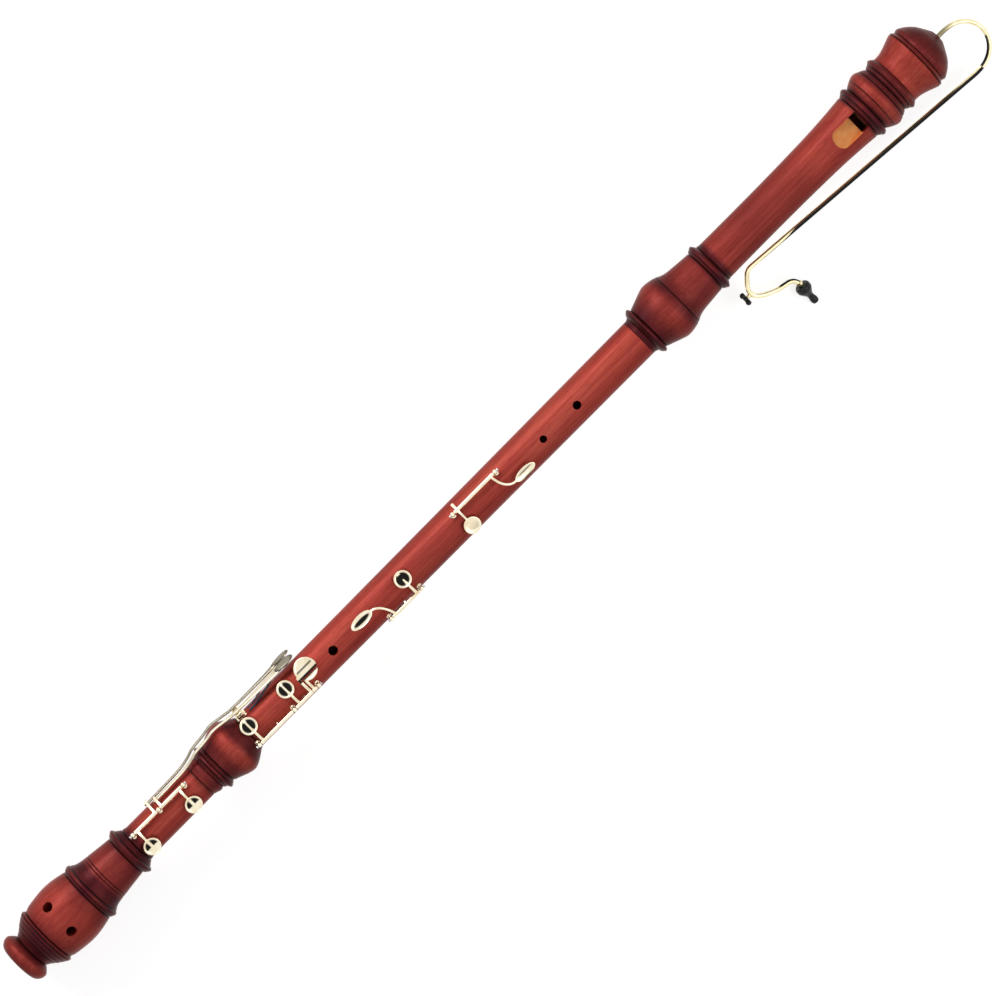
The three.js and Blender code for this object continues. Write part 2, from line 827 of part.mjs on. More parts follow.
// Double key: the near key's tube turns freely on the rod that joins the far key's cup to its own touch
function splitKey() {
  const at = (place) => onMiddleTube(doubleKey.startShare) + place;
  const { hingeAngle, cupAngle, farTouchAngle, armEndAngle } = doubleKey;
  const [low, high] = [at(doubleKey.lowPostAt), at(doubleKey.highPostAt)];
  const [farCupAt, nearCupAt] = [at(doubleKey.farCupAt), at(doubleKey.nearCupAt)];
  const postAt = at(doubleKey.middlePostAt);
  const line = hingeLine(low, high, hingeAngle);
  const angle = openingAngle(doubleKey, line);
  const [farFrom, farTo] = tubeSpan(low, postAt);
  const nearFrom = tubeSpan(postAt, high)[0];
  const nearTo = at(doubleKey.nearArmAt) + key.armWidth / 2;
  const collarTo = tubeSpan(postAt, high)[1];
  const farCatch = (farCupAt + postAt) / 2;
  const nearCatch = (nearCupAt + at(doubleKey.nearArmAt)) / 2;
  const farParts = [
    onHinge(farFrom, farTo, key.tubeRadius, line),
    keyCup(farCupAt, cupAngle),
    keyArm(farCupAt, hingeAngle, armEndAngle),
    springCatch(farCatch, line),
  ];
  const nearParts = [
    onHinge(nearFrom, nearTo, key.tubeRadius, line),
    keyCup(nearCupAt, cupAngle),
    keyArm(nearCupAt, hingeAngle, armEndAngle),
    keyArm(at(doubleKey.nearArmAt), hingeAngle, cupAngle),
    splitTouch(false),
    springCatch(nearCatch, line),
  ];
  const touchBody = cut(
    join(
      onHinge(nearTo + 2 * runningGap, collarTo, key.tubeRadius, line),
      keyArm(at(doubleKey.farArmAt), hingeAngle, farTouchAngle),
      splitTouch(true),
    ),
    onHinge(low, high, key.rodRadius + runningGap, line),
  );
  const farExtras = [
    piece('double_key_far_touch', turnAbout(touchBody, line.place, angle), 'brass'),
    hingeRod('double_key_rod', line),
  ];
  return [
    openedKey('double_key_far', line, angle, farParts, keyPad(farCupAt, cupAngle), farExtras),
    openedKey('double_key_near', line, angle, nearParts, keyPad(nearCupAt, cupAngle)),
    hingePost('double_key_low_post', low, line),
    hingePost('double_key_middle_post', postAt, line),
    hingePost('double_key_high_post', high, line),
    needleSpring('double_key_far_spring', low, farCatch, line),
    needleSpring('double_key_near_spring', postAt, nearCatch, line),
  ];
}

// Lug on a foot key that lies over the tip of its lever; it is set out at rest, with the key open
function footLug(at, leverAngle, line, angle) {
  const inner = leverTipRadius() + lever.barThickness / 2 + lever.lugGap;
  const toAngle = leverAngle - footKeys.lugMarginAngle;
  const lug = archBand(footKeys.hingeAngle, toAngle, inner, key.armThickness, at, key.armWidth);
  return turnAbout(lug, line.place, -angle);
}

// Two keys of the foot joint, on one rod
function footKeySet() {
  const [low, middlePost, high, lowCup, highCup, lowLug, highLug] = [
    footKeys.lowPostAt, footKeys.middlePostAt, footKeys.highPostAt,
    footKeys.lowCupAt, footKeys.highCupAt, footKeys.lowLugAt, footKeys.highLugAt,
  ].map((at) => footTubeStart + at);
  const line = hingeLine(low, high, footKeys.hingeAngle);
  const angle = openingAngle(footKeys, line);
  const members = [
    ['foot_key_low', [low, middlePost], lowCup, lowLug, outerLeverAngle],
    ['foot_key_high', [middlePost, high], highCup, highLug, innerLeverAngle],
  ];
  const keys = members.flatMap(([name, span, cupAt, lugAt, leverAngle]) => {
    const catchAt = (cupAt + lugAt) / 2;
    const parts = [
      onHinge(...tubeSpan(...span), key.tubeRadius, line),
      keyCup(cupAt, footKeys.cupAngle),
      keyArm(cupAt, footKeys.hingeAngle, footKeys.cupAngle),
      footLug(lugAt, leverAngle, line, angle),
      springCatch(catchAt, line),
    ];
    return [
      openedKey(name, line, angle, parts, keyPad(cupAt, footKeys.cupAngle)),
      needleSpring(`${name}_spring`, span[0], catchAt, line),
    ];
  });
  return [
    ...keys,
    hingeRod('foot_key_rod', line),
    hingePost('foot_key_low_post', low, line),
    hingePost('foot_key_middle_post', middlePost, line),
    hingePost('foot_key_high_post', high, line),
  ];
}

// Radius of a lever's tip above the foot's tube
function leverTipRadius() {
  return woodRadius(footTubeStart + footKeys.highLugAt) + lever.footClearance + lever.barThickness / 2;
}

// Strip of a given thickness along a smooth line of [x, z] points, given a width in Y
function strip(points, thickness, width, steps) {
  const curve = new THREE.SplineCurve(points.map(([x, z]) => new THREE.Vector2(x, z)));
  const edge = (side) => Array.from({ length: steps + 1 }, (_, step) => {
    const middlePoint = curve.getPointAt(step / steps);
    const along = curve.getTangentAt(step / steps);
    const half = (side * thickness) / 2;
    return [middlePoint.x - half * along.y, middlePoint.y + half * along.x];
  });
  return slab([...edge(1), ...edge(-1).reverse()], width);
}

// Centre line of a lever: low over the foot, over the socket rim and bulb, then level to its touch
function leverLine(tipAt, pivotAt) {
  const half = lever.barThickness / 2;
  const tip = leverTipRadius();
  const overRim = middle.rim.radius + lever.bulbClearance + half;
  const overBulb = middle.bulb.radius + lever.bulbClearance + half;
  const overTube = woodRadius(pivotAt) + lever.barRise;
  const bulbStart = middleStart + middle.rim.length;
  const rise = overTube + lever.touchRise;
  const touchAt = pivotAt + lever.touchFromPivot;
  return [
    [tipAt, tip],
    [footLength - foot.topRing.length - middle.rim.length, tip + half],
    [footLength - lever.ringShare * foot.topRing.length, (tip + overRim) / 2],
    [bulbStart - lever.rimShare * middle.rim.length, overRim],
    [bulbStart + lever.bulbRiseShare * middle.bulb.length, (overRim + overBulb) / 2],
    [bulbStart + lever.bulbCrestShare * middle.bulb.length, overBulb],
    [bulbStart + lever.bulbFallShare * middle.bulb.length, (overTube + overBulb) / 2],
    [pivotAt, overTube],
    [touchAt - 2 * lever.touchHalfLength, overTube],
    [touchAt, rise],
    [touchAt + lever.touchEndShare * lever.touchHalfLength, rise],
  ];
}

// Long lever in its own upright plane, turned round to its angle
function longLever(name, angle, side, lugAt) {
  const pivotAt = middleTubeStart + lever.pivotAt;
  const pivotRadius = woodRadius(pivotAt) + lever.pivotHeight;
  const points = leverLine(lugAt - lever.tipBeyondLug, pivotAt);
  const barRadius = woodRadius(pivotAt) + lever.barRise;
  const web = slab([
    [pivotAt - lever.hubRadius, pivotRadius],
    [pivotAt + lever.hubRadius, pivotRadius],
    [pivotAt + lever.hubRadius, barRadius],
    [pivotAt - lever.hubRadius, barRadius],
  ], lever.barWidth);
  const { touchHalfLength, touchHalfWidth, touchDome } = lever;
  const touch = new THREE.SphereGeometry(touchHalfLength, cupSides, arcSteps);
  touch.scale(1, touchHalfWidth / touchHalfLength, touchDome / touchHalfLength);
  touch.translate(pivotAt + lever.touchFromPivot, side * lever.touchOffset, barRadius + lever.touchRise);
  const body = cut(
    join(
      strip(points, lever.barThickness, lever.barWidth, leverSteps),
      crossBar(pivotAt, pivotRadius, lever.hubRadius, lever.barWidth),
      web,
      touch,
    ),
    crossBar(pivotAt, pivotRadius, lever.pinRadius + runningGap, overrun),
  );
  const place = around(angle, pivotRadius);
  return pivotGroup(`${name}_pivot`, place, [piece(name, body.rotateX(radians(angle)), 'brass')]);
}

// Half width of a saddle's slot and of the whole fork
const slotHalfWidth = lever.barWidth / 2 + runningGap;
const forkHalfWidth = slotHalfWidth + saddle.cheek;

// Forked saddle on the wood that carries a lever on its pin
function leverSaddle(name, angle) {
  const at = middleTubeStart + lever.pivotAt;
  const base = woodRadius(at) + seatGap;
  const pivotRadius = woodRadius(at) + lever.pivotHeight;
  const slotBottom = pivotRadius - lever.hubRadius - 2 * runningGap;
  const top = woodRadius(at) + lever.barRise - lever.barThickness / 2 - 2 * runningGap;
  const neck = base + saddle.neckHeight;
  const stem = saddle.stemHalfWidth;
  const half = [
    [stem, base],
    [stem, neck],
    [forkHalfWidth, slotBottom],
    [forkHalfWidth, top],
    [slotHalfWidth, top],
    [slotHalfWidth, slotBottom],
  ];
  const mirrored = half.map(([y, z]) => [-y, z]).reverse();
  const footTop = base + saddle.footHeight;
  const fork = cut(
    join(
      crossSlab([...half, ...mirrored], at, saddle.length),
      crossSlab([[-stem, base], [stem, base], [stem, footTop], [-stem, footTop]], at, saddle.footLength),
    ),
    crossBar(at, pivotRadius, lever.pinRadius + runningGap, overrun),
  );
  return piece(name, fork.rotateX(radians(angle)), 'brass');
}

// Pin across a saddle
function leverPin(name, angle) {
  const at = middleTubeStart + lever.pivotAt;
  const pivotRadius = woodRadius(at) + lever.pivotHeight;
  const pin = crossBar(at, pivotRadius, lever.pinRadius, 2 * forkHalfWidth);
  return piece(name, pin.rotateX(radians(angle)), 'steel');
}

// Leaf spring that rises from the wood to the underside of a lever
function leafSpring(name, angle) {
  const at = middleTubeStart + lever.pivotAt + leverSpring.start;
  const low = woodRadius(at) + seatGap + leverSpring.thickness;
  const high = woodRadius(at) + lever.barRise - (lever.barThickness + leverSpring.thickness) / 2 - seatGap;
  const { reach, lineShares } = leverSpring;
  const points = lineShares.map(([along, up]) => [at + along * reach, low + up * (high - low)]);
  const leaf = strip(points, leverSpring.thickness, leverSpring.width, arcSteps);
  return piece(name, leaf.rotateX(radians(angle)), 'steel');
}

function leverSet() {
  const members = [
    { name: 'outer_lever', angle: outerLeverAngle, side: 1, lugAt: footTubeStart + footKeys.lowLugAt },
    { name: 'inner_lever', angle: innerLeverAngle, side: -1, lugAt: footTubeStart + footKeys.highLugAt },
  ];
  return members.flatMap(({ name, angle, side, lugAt }) => [
    longLever(name, angle, side, lugAt),
    leverSaddle(`${name}_saddle`, angle),
    leverPin(`${name}_pin`, angle),
    leafSpring(`${name}_spring`, angle),
  ]);
}

// Thumb rest on the back: a curved foot plate and a hook
function backRest() {
  const at = onMiddleTube(thumbRest.atShare);
  const { length, halfAngle, thickness, height, width, hookShares } = thumbRest;
  const base = woodRadius(at) + seatGap;
  const low = base + thickness;
  const high = base + height - thickness / 2;
  const points = hookShares.map(([along, up]) => [at + (along * length) / 2, low + up * (high - low)]);
  const plate = archBand(-halfAngle, halfAngle, base, thickness, at, length);
  const hook = strip(points, thickness, width, ringSteps);
  return piece('thumb_rest', join(plate, hook).rotateX(Math.PI), 'brass');
}

// Sling ring on the back: a round foot and a ring that stands along the body
function slingEye() {
  const at = onMiddleTube(slingRing.atShare);
  const base = woodRadius(at) + seatGap;
  const centre = base + slingRing.footHeight + slingRing.radius;
  const ring = new THREE.TorusGeometry(slingRing.radius, slingRing.wireRadius, arcSteps, ringSteps);
  const eye = join(
    peg(base, base + slingRing.footHeight, slingRing.footRadius, cupSides),
    ring.rotateX(Math.PI / 2).translate(0, 0, centre),
  );
  return piece('sling_ring', eye.translate(at, 0, 0).rotateX(Math.PI), 'brass');
}

// Route of the crook in its own plane: straight and round stretches laid end to end, as [x, out, heading]
function crookRoute() {
  const linkHeading = crook.loopAngle - crook.elbowAngle - crook.heelAngle - crook.swellAngle;
  const stretches = [
    { run: crook.insideCap + crook.outOfCap },
    { radius: crook.loopRadius, turn: crook.loopAngle },
    { run: crook.runLength },
    { radius: crook.elbowRadius, turn: -crook.elbowAngle },
    { run: crook.dropLength },
    { radius: crook.heelRadius, turn: -crook.heelAngle },
    { run: crook.linkLength },
    { radius: crook.swellRadius, turn: -crook.swellAngle },
    { radius: crook.neckRadius, turn: crook.neckHeading - linkHeading },
    { run: crook.leadLength },
  ];
  const route = [{ x: capEnd - crook.insideCap, out: 0, heading: 0 }];
  for (const { run, radius, turn } of stretches) {
    const steps = run ? 1 : Math.ceil(Math.abs(turn) / crook.bendStepAngle);
    const stepTurn = run ? 0 : turn / steps;
    const step = run ?? 2 * radius * Math.sin(radians(Math.abs(stepTurn)) / 2);
    for (let i = 0; i < steps; i += 1) {
      const last = route.at(-1);
      const middleHeading = radians(last.heading + stepTurn / 2);
      route.push({
        x: last.x + step * Math.cos(middleHeading),
        out: last.out + step * Math.sin(middleHeading),
        heading: last.heading + stepTurn,
      });
    }
  }
  return route;
}

// Drop of the crook below level, at which the mouthpiece first meets the plane that the body rests on
function crookDropAngle(mouthpieceGeometry) {
  const depth = foot.bell.radius * facetReach;
  const place = mouthpieceGeometry.attributes.position;
  const drops = [];
  for (let i = 0; i < place.count; i += 1) {
    const reach = Math.hypot(place.getY(i), place.getZ(i));
    if (reach > depth) drops.push(Math.atan2(place.getY(i), place.getZ(i)) + Math.asin(depth / reach));
  }
  return Math.min(...drops);
}

// Point of the heel that lies furthest down the body, where the drain screw sits, as [x, out]
function heelPoint(route) {
  const heel = route.reduce((lowest, point) => (point.x < lowest.x ? point : lowest));
  return [heel.x, heel.out];
}

// Bent tube with its bore and the stub of the drain
function crookTube(route) {
  const points = route.map(({ x, out }) => new THREE.Vector3(x, 0, out));
  const [heelX, heelOut] = heelPoint(route);
  const stubEnd = heelX - drain.stubLength;
  const stub = barAlong(stubEnd, heelX - crook.boreRadius, drain.stubRadius).translate(0, 0, heelOut);
  const drill = barAlong(stubEnd - overrun, heelX, drain.spigotRadius + runningGap).translate(0, 0, heelOut);
  return cut(join(swept(points, crook.radius, crook.boreRadius), stub), drill);
}

// Mouthpiece over the crook's end
function mouthpieceBody(route) {
  const end = route.at(-1);
  const heading = radians(end.heading);
  const { length, radius, socketDepth, boreRadius, outlineShares } = mouthpiece;
  const socketRadius = crook.radius + seatGap;
  const outline = [
    ...outlineShares.map(([along, out]) => [along * length, out * radius]),
    [length, boreRadius],
    [socketDepth + seatGap, boreRadius],
    [socketDepth + seatGap, socketRadius],
    [0, socketRadius],
  ];
  const body = turned([...outline, outline[0]], cupSides).rotateY(-heading);
  const start = [end.x - socketDepth * Math.cos(heading), 0, end.out - socketDepth * Math.sin(heading)];
  return body.translate(...start);
}

// Drain screw: a spigot in the stub and a hub, and the two-lobed thumb piece on the hub
function drainPieces(route) {
  const [heelX, heelOut] = heelPoint(route);
  const hubTo = heelX - drain.stubLength - seatGap;
  const hubFrom = hubTo - drain.hubLength;
  const thumbTo = hubTo - drain.collarLength - seatGap;
  const screw = join(
    barAlong(hubFrom, hubTo + drain.spigotLength, drain.spigotRadius),
    barAlong(hubTo - drain.collarLength, hubTo, drain.stubRadius),
  );
  const lobes = [-1, 1].map((side) => {
    const lobe = new THREE.SphereGeometry(drain.lobeRadius, metalSides, arcSteps);
    return lobe.translate((hubFrom + thumbTo) / 2, 0, side * drain.lobeSpread);
  });
  const thumb = cut(
    join(...lobes, barAlong(hubFrom + seatGap, thumbTo, drain.barrelRadius)),
    barAlong(hubFrom - overrun, hubTo, drain.spigotRadius + runningGap),
    barAlong(thumbTo, hubTo + overrun, drain.lobeRadius + drain.lobeSpread),
  );
  return [screw.translate(0, 0, heelOut), thumb.translate(0, 0, heelOut)];
}

// Crook with everything that swivels with it, set out in its plane and dropped to the floor
function crookSet() {
  const route = crookRoute();
  const blown = mouthpieceBody(route);
  const corkTo = capEnd - seatGap;
  const corkFrom = corkTo - crookCork.length;
  const inside = crook.radius + seatGap;
  const outside = inside + crookCork.wall;
  const corkOutline = [[corkFrom, inside], [corkFrom, outside], [corkTo, outside], [corkTo, inside]];
  const cork = turned([...corkOutline, corkOutline[0]], cupSides);
  const [screw, thumb] = drainPieces(route);
  const drainMeshes = [piece('drain_screw', screw, 'brass'), piece('drain_thumb_piece', thumb, 'black')];
  const swivel = new THREE.Group();
  swivel.name = 'crook_pivot';
  swivel.rotation.x = Math.PI / 2 + crookDropAngle(blown);
  swivel.add(
    piece('crook', crookTube(route), 'brass'),
    piece('crook_cork', cork, 'cork'),
    piece('mouthpiece', blown, 'black'),
    pivotGroup('drain_screw_pivot', [0, heelPoint(route)[1]], drainMeshes),
  );
  return swivel;
}

// Foot joint: turned outside, tenon and bore, with its vents, tone holes and post seats
function footJoint() {
  const boreEnd = footLength + footTenon.length;
  const outline = [
    ...stations(foot, 0),
    ...tenonOutline(footLength, footTenon),
    [boreEnd, lowBoreRadius],
    [footMouthLength, footBoreRadius],
    [0, footMouthRadius],
  ];
  const ventAt = foot.endRing.length + foot.flare.length + vents.at;
  const ventAngles = [-1, 1].map((side) => vents.centreAngle + side * vents.halfSpreadAngle);
  const cupPlaces = [footKeys.lowCupAt, footKeys.highCupAt];
  const postPlaces = [footKeys.lowPostAt, footKeys.middlePostAt, footKeys.highPostAt];
  const cutters = [
    ...ventAngles.map((angle) => radialHole({ at: ventAt, angle, radius: vents.radius })),
    ...cupPlaces.flatMap((at) => toneHoleCutters(footTubeStart + at, footKeys.cupAngle)),
    ...postPlaces.flatMap((at) => postCutters(footTubeStart + at, footKeys.hingeAngle)),
  ];
  return piece('foot_joint', cut(turned([...outline, outline[0]]), ...cutters), 'wood');
}

// Middle joint: socket bulb, long tube, tenon and bore, with its holes and seats
function middleJoint() {
  const socketEnd = middleStart + footTenon.length + 2 * seatGap;
  const socketRadius = footTenon.radius + seatGap;
  const outline = [
    ...stations(middle, middleStart),
    ...tenonOutline(middleEnd, middleTenon),
    [middleEnd + middleTenon.length, highBoreRadius],
    [socketEnd, lowBoreRadius],
    [socketEnd, socketRadius],
    [middleStart, socketRadius],
  ];
  const keyed = [
    [ringKey, ['cupAt'], ['lowPostAt', 'highPostAt']],
    [indexKey, ['cupAt'], ['lowPostAt', 'highPostAt']],
    [doubleKey, ['farCupAt', 'nearCupAt'], ['lowPostAt', 'middlePostAt', 'highPostAt']],
  ];
  const keyCutters = keyed.flatMap(([set, cups, posts]) => {
    const start = onMiddleTube(set.startShare);
    return [
      ...cups.flatMap((cup) => toneHoleCutters(start + set[cup], set.cupAngle)),
      ...posts.flatMap((post) => postCutters(start + set[post], set.hingeAngle)),
    ];
  });
  const holes = Object.values(fingerHoles);
  const cutters = [
    ...holes.map((hole) => radialHole({ ...hole, at: onMiddleTube(hole.atShare) })),
    ...keyCutters,
  ];
  return piece('middle_joint', cut(turned([...outline, outline[0]]), ...cutters), 'wood');
}

// Head joint: socket bulb, widening tube, top rings and tenon, with windway, window and ramp
function headJoint() {
  const socketEnd = headStart + middleTenon.length + 2 * seatGap;
  const socketRadius = middleTenon.radius + seatGap;
  const tenonEnd = headEnd + capTenon.length;
  const outline = [
    ...stations(head, headStart),
    ...tenonOutline(headEnd, capTenon),
    [tenonEnd, headBoreRadius],
    [socketEnd, headBoreRadius],
    [socketEnd, socketRadius],
    [headStart, socketRadius],
  ];
  const windowStart = windowEnd - windowCut.length;
  const rampStart = windowStart - windowCut.rampLength;
  const surface = head.tube.radius;
  const slope = (surface - windowCut.edgeRadius) / windowCut.rampLength;
  const ramp = slab([
    [windowStart + seatGap, windowCut.edgeRadius],
    [windowStart + seatGap, surface + overrun],
    [rampStart - overrun, surface + overrun],
    [rampStart - overrun, surface + overrun * slope],
  ], windowCut.width);
  const opening = new THREE.BoxGeometry(windowCut.length, windowCut.width, surface + overrun);
  opening.translate(windowStart + windowCut.length / 2, 0, (surface + overrun) / 2);
  const slotLength = tenonEnd + overrun - windowEnd + seatGap;
  const slotAt = windowEnd - seatGap + slotLength / 2;
  const inner = headBoreRadius - seatGap;
  const { height, halfAngle } = windway;
  const slot = archBand(-halfAngle, halfAngle, inner, height + seatGap, slotAt, slotLength);
  return piece('head_joint', cut(turned([...outline, outline[0]]), ramp, opening, slot), 'wood');
}

// Block that closes the bore under the windway
function blockPlug() {
  const from = windowEnd;
  const to = headEnd + capTenon.length;
  const radius = headBoreRadius - seatGap;
  const chamfer = [[to - blockChamfer, radius], [to, radius - blockChamfer]];
  return piece('block', turned([[from, 0], [from, radius], ...chamfer, [to, 0]]), 'block');
}

// Cap: socket for the head's tenon, air chamber, and the hole for the crook
function capShell() {
  const socketEnd = capStart + capTenon.length + 2 * seatGap;
  const holeRadius = crook.radius + 2 * seatGap + crookCork.wall;
  const outline = [
    ...stations(cap, capStart),
    [capEnd, holeRadius],
    [capEnd - capWallLength, holeRadius],
    [capEnd - capWallLength, capChamberRadius],
    [socketEnd, capChamberRadius],
    [socketEnd, capTenon.radius + seatGap],
    [capStart, capTenon.radius + seatGap],
  ];
  return piece('cap', turned([...outline, outline[0]]), 'wood');
}

// Head with its block, cap and crook, which slides on the middle joint's tenon
function headSet() {
  const slide = new THREE.Group();
  slide.name = 'head_slide_pivot';
  slide.add(headJoint(), blockPlug(), capShell(), tenonCork('cap_tenon_cork', headEnd, capTenon), crookSet());
  return slide;
}

// Stands the whole on its own reference point, midway along and across and on the plane it rests on
function centred(group) {
  const box = new THREE.Box3().setFromObject(group, true);
  const middlePoint = box.getCenter(new THREE.Vector3());
  group.position.set(-middlePoint.x, -middlePoint.y, -box.min.z);
  const stand = new THREE.Group();
  stand.add(group);
  return stand;
}

const recorder = new THREE.Group();
recorder.name = 'body_frame';
recorder.add(
  footJoint(),
  middleJoint(),
  tenonCork('foot_tenon_cork', footLength, footTenon),
  tenonCork('middle_tenon_cork', middleEnd, middleTenon),
  ...fingerKey('ring_key', ringKey),
  ...fingerKey('index_key', indexKey),
  ...splitKey(),
  ...leverSet(),
  ...footKeySet(),
  backRest(),
  slingEye(),
  headSet(),
);

export default centred(recorder);
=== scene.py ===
"""Looks of the great bass recorder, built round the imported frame. Sizes are millimetres in the
body's own coordinates, X from the open end of the foot, Y and Z from its axis, until a piece is placed."""
import math
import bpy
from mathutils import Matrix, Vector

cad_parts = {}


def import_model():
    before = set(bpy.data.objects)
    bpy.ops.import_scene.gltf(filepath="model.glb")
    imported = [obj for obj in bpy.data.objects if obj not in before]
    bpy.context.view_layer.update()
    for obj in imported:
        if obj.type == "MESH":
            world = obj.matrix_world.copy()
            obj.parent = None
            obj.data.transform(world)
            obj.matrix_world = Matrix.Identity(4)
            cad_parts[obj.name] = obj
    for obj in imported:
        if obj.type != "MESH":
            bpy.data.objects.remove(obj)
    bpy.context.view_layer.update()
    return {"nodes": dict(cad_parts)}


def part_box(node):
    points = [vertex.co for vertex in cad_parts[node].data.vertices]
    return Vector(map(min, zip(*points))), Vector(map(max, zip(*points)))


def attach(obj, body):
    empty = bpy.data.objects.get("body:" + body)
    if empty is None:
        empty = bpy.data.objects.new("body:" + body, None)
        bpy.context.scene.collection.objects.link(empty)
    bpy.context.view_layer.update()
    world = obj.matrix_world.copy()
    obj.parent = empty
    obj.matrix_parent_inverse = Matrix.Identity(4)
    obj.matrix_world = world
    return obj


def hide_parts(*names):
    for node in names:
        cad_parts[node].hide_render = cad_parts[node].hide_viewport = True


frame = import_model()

from types import SimpleNamespace

import bmesh
import bpy
import numpy as np
from mathutils import Matrix, Vector

# Stretches of the turned wood, as (length, radius, [share of the length, share of the radius])
FOOT = [
    (16.9, 26.3, [(0, 0.72), (0.11, 0.87), (0.35, 0.98), (0.6, 1), (0.84, 0.88), (1, 0.75)]),  # end ring
    (19.8, 32.9, [(0.2, 0.66), (0.55, 0.83), (1, 1)]),  # flare
    # bell
    (54.5, 34.5, [
        (0.05, 0.89), (0.14, 0.93), (0.31, 0.972), (0.5, 1), (0.57, 1), (0.75, 0.973), (1, 0.885),
    ]),
    (9.4, 32.9, [(0.42, 0.99), (0.56, 1), (1, 0.915)]),  # bell bead
    (42.3, 27.7, [(0.11, 1), (0.5, 0.91), (1, 0.82)]),  # waist
    (18.8, 27.3, [(0.24, 0.97), (0.34, 1), (0.52, 0.85), (0.78, 0.73)]),  # waist bead
    (80.6, 18.8, [(0, 1), (1, 0.99)]),  # tube
    (11.2, 20.7, [(0.35, 0.95), (0.65, 1), (1, 0.94)]),  # top ring
]
MIDDLE = [
    (10.3, 25.9, [(0, 0.8), (0.27, 0.87), (0.48, 0.99), (0.62, 0.99), (1, 0.87)]),  # rim
    # bulb
    (43.3, 29.6, [(0.13, 0.824), (0.35, 0.953), (0.5, 1), (0.57, 0.99), (0.68, 0.922), (0.92, 0.69)]),
    (519.6, 20.2, [(0, 0.931), (1, 1)]),  # tube
]
HEAD = [
    (13.1, 27.3, [(0, 0.745), (0.3, 0.765), (0.62, 0.97), (0.78, 1), (1, 0.894)]),  # rim
    # bulb
    (38.5, 32.2, [(0.2, 0.848), (0.42, 0.945), (0.58, 1), (0.72, 0.995), (1, 0.919)]),
    (36.7, 27.5, [(0.1, 1), (0.25, 0.938), (0.55, 0.895), (1, 0.845)]),  # shoulder
    (15, 26.8, [(0.28, 0.975), (0.42, 1), (0.66, 0.85), (1, 0.806)]),  # bead
    (188, 25.7, [(0.12, 0.833), (0.4, 0.833), (0.62, 0.853), (0.8, 0.893), (1, 1)]),  # tube
    (12.2, 29.6, [(0.24, 0.889), (0.52, 0.985), (0.68, 1), (1, 0.889)]),  # top bead
    (25.4, 32.2, [(0.15, 0.891), (0.33, 0.965), (0.52, 1), (0.7, 0.957), (1, 0.832)]),  # top ring
    (11.8, 31.2, [(0.42, 0.95), (0.62, 1), (0.82, 0.96), (1, 0.9)]),  # end bead
]
CAP = [
    (28.3, 34.5, [(0, 0.805), (0.23, 0.81), (0.47, 0.862), (0.9, 0.99), (1, 1)]),  # bowl
    # dome, a little rounder than the frame's facets
    (29.2, 33.1, [
        (0.1, 0.975), (0.225, 1), (0.37, 0.94), (0.54, 0.83), (0.7, 0.685), (0.84, 0.49), (1, 0.23),
    ]),
]

# Fine lines turned into each piece, as (millimetres from its start, half width, depth)
FOOT_LINES = [
    (17.3, 0.9, 1.0), (24.5, 0.6, 0.5), (28.5, 0.6, 0.5), (32.5, 0.6, 0.5), (36.2, 0.8, 0.8),
    (39.4, 0.8, 0.8), (91.6, 0.9, 0.8), (94.6, 0.6, 0.5), (99.3, 0.9, 0.9), (114, 0.6, 0.4), (117, 0.6, 0.4),
    (143.3, 0.9, 0.8), (151.5, 0.8, 0.7), (157.2, 0.9, 0.8), (243, 0.7, 0.5),
]
MIDDLE_LINES = [(3.4, 0.7, 0.7), (7.6, 0.7, 0.7), (11.4, 1.0, 0.9), (53, 0.7, 0.6)]
HEAD_LINES = [
    (5.2, 0.8, 0.8), (8, 0.7, 0.6), (12.6, 0.9, 0.9), (50.6, 0.8, 0.6), (88.6, 0.9, 0.8), (91.6, 0.6, 0.5),
    (98.4, 0.9, 0.9), (292.5, 0.9, 0.8), (296.5, 0.7, 0.6), (302.9, 0.9, 1.0), (310.3, 0.6, 0.4),
    (322.7, 0.8, 0.7), (328.5, 0.9, 0.9), (332.9, 0.7, 0.7),
]
CAP_LINES = [(27.2, 0.8, 0.8), (31.4, 0.6, 0.5)]

# Sizes of the inside and of the pieces
CAP_WALL_LENGTH = 17
CAP_CHAMBER_RADIUS = 17.5
FOOT_BORE_RADIUS = 9.5
FOOT_MOUTH_RADIUS = 11.5
FOOT_MOUTH_LENGTH = 3
LOW_BORE_RADIUS = 11
HIGH_BORE_RADIUS = 13.6
HEAD_BORE_RADIUS = 14.5
CORK_DEPTH = 1.5
FOOT_TENON = SimpleNamespace(radius=15, length=36, cork_shares=(0.194, 0.806))
MIDDLE_TENON = SimpleNamespace(radius=17.4, length=44, cork_shares=(0.204, 0.796))
CAP_TENON = SimpleNamespace(radius=20.4, length=17, cork_shares=(0.235, 0.765))
FINGER_HOLES = [  # share of the middle tube, angle, radius
    (0.2117, -1, 4.6),
    (0.7488, 0, 3.6),
    (0.8349, 0, 4.2),
    (0.8584, 180, 3.8),
]
VENTS = SimpleNamespace(at=23, centre_angle=-14, half_spread_angle=29, radius=5.1)
WINDOW_CUT = SimpleNamespace(
    length=7.6, width=20, ramp_length=26, ramp_extra=0.5, round_share=0.3, edge_radius=15.4,
    end_radius=21.7,
)
WINDWAY = SimpleNamespace(height=1.9, half_angle=40, corner=0.1)
BLOCK_CHAMFER = 1.2
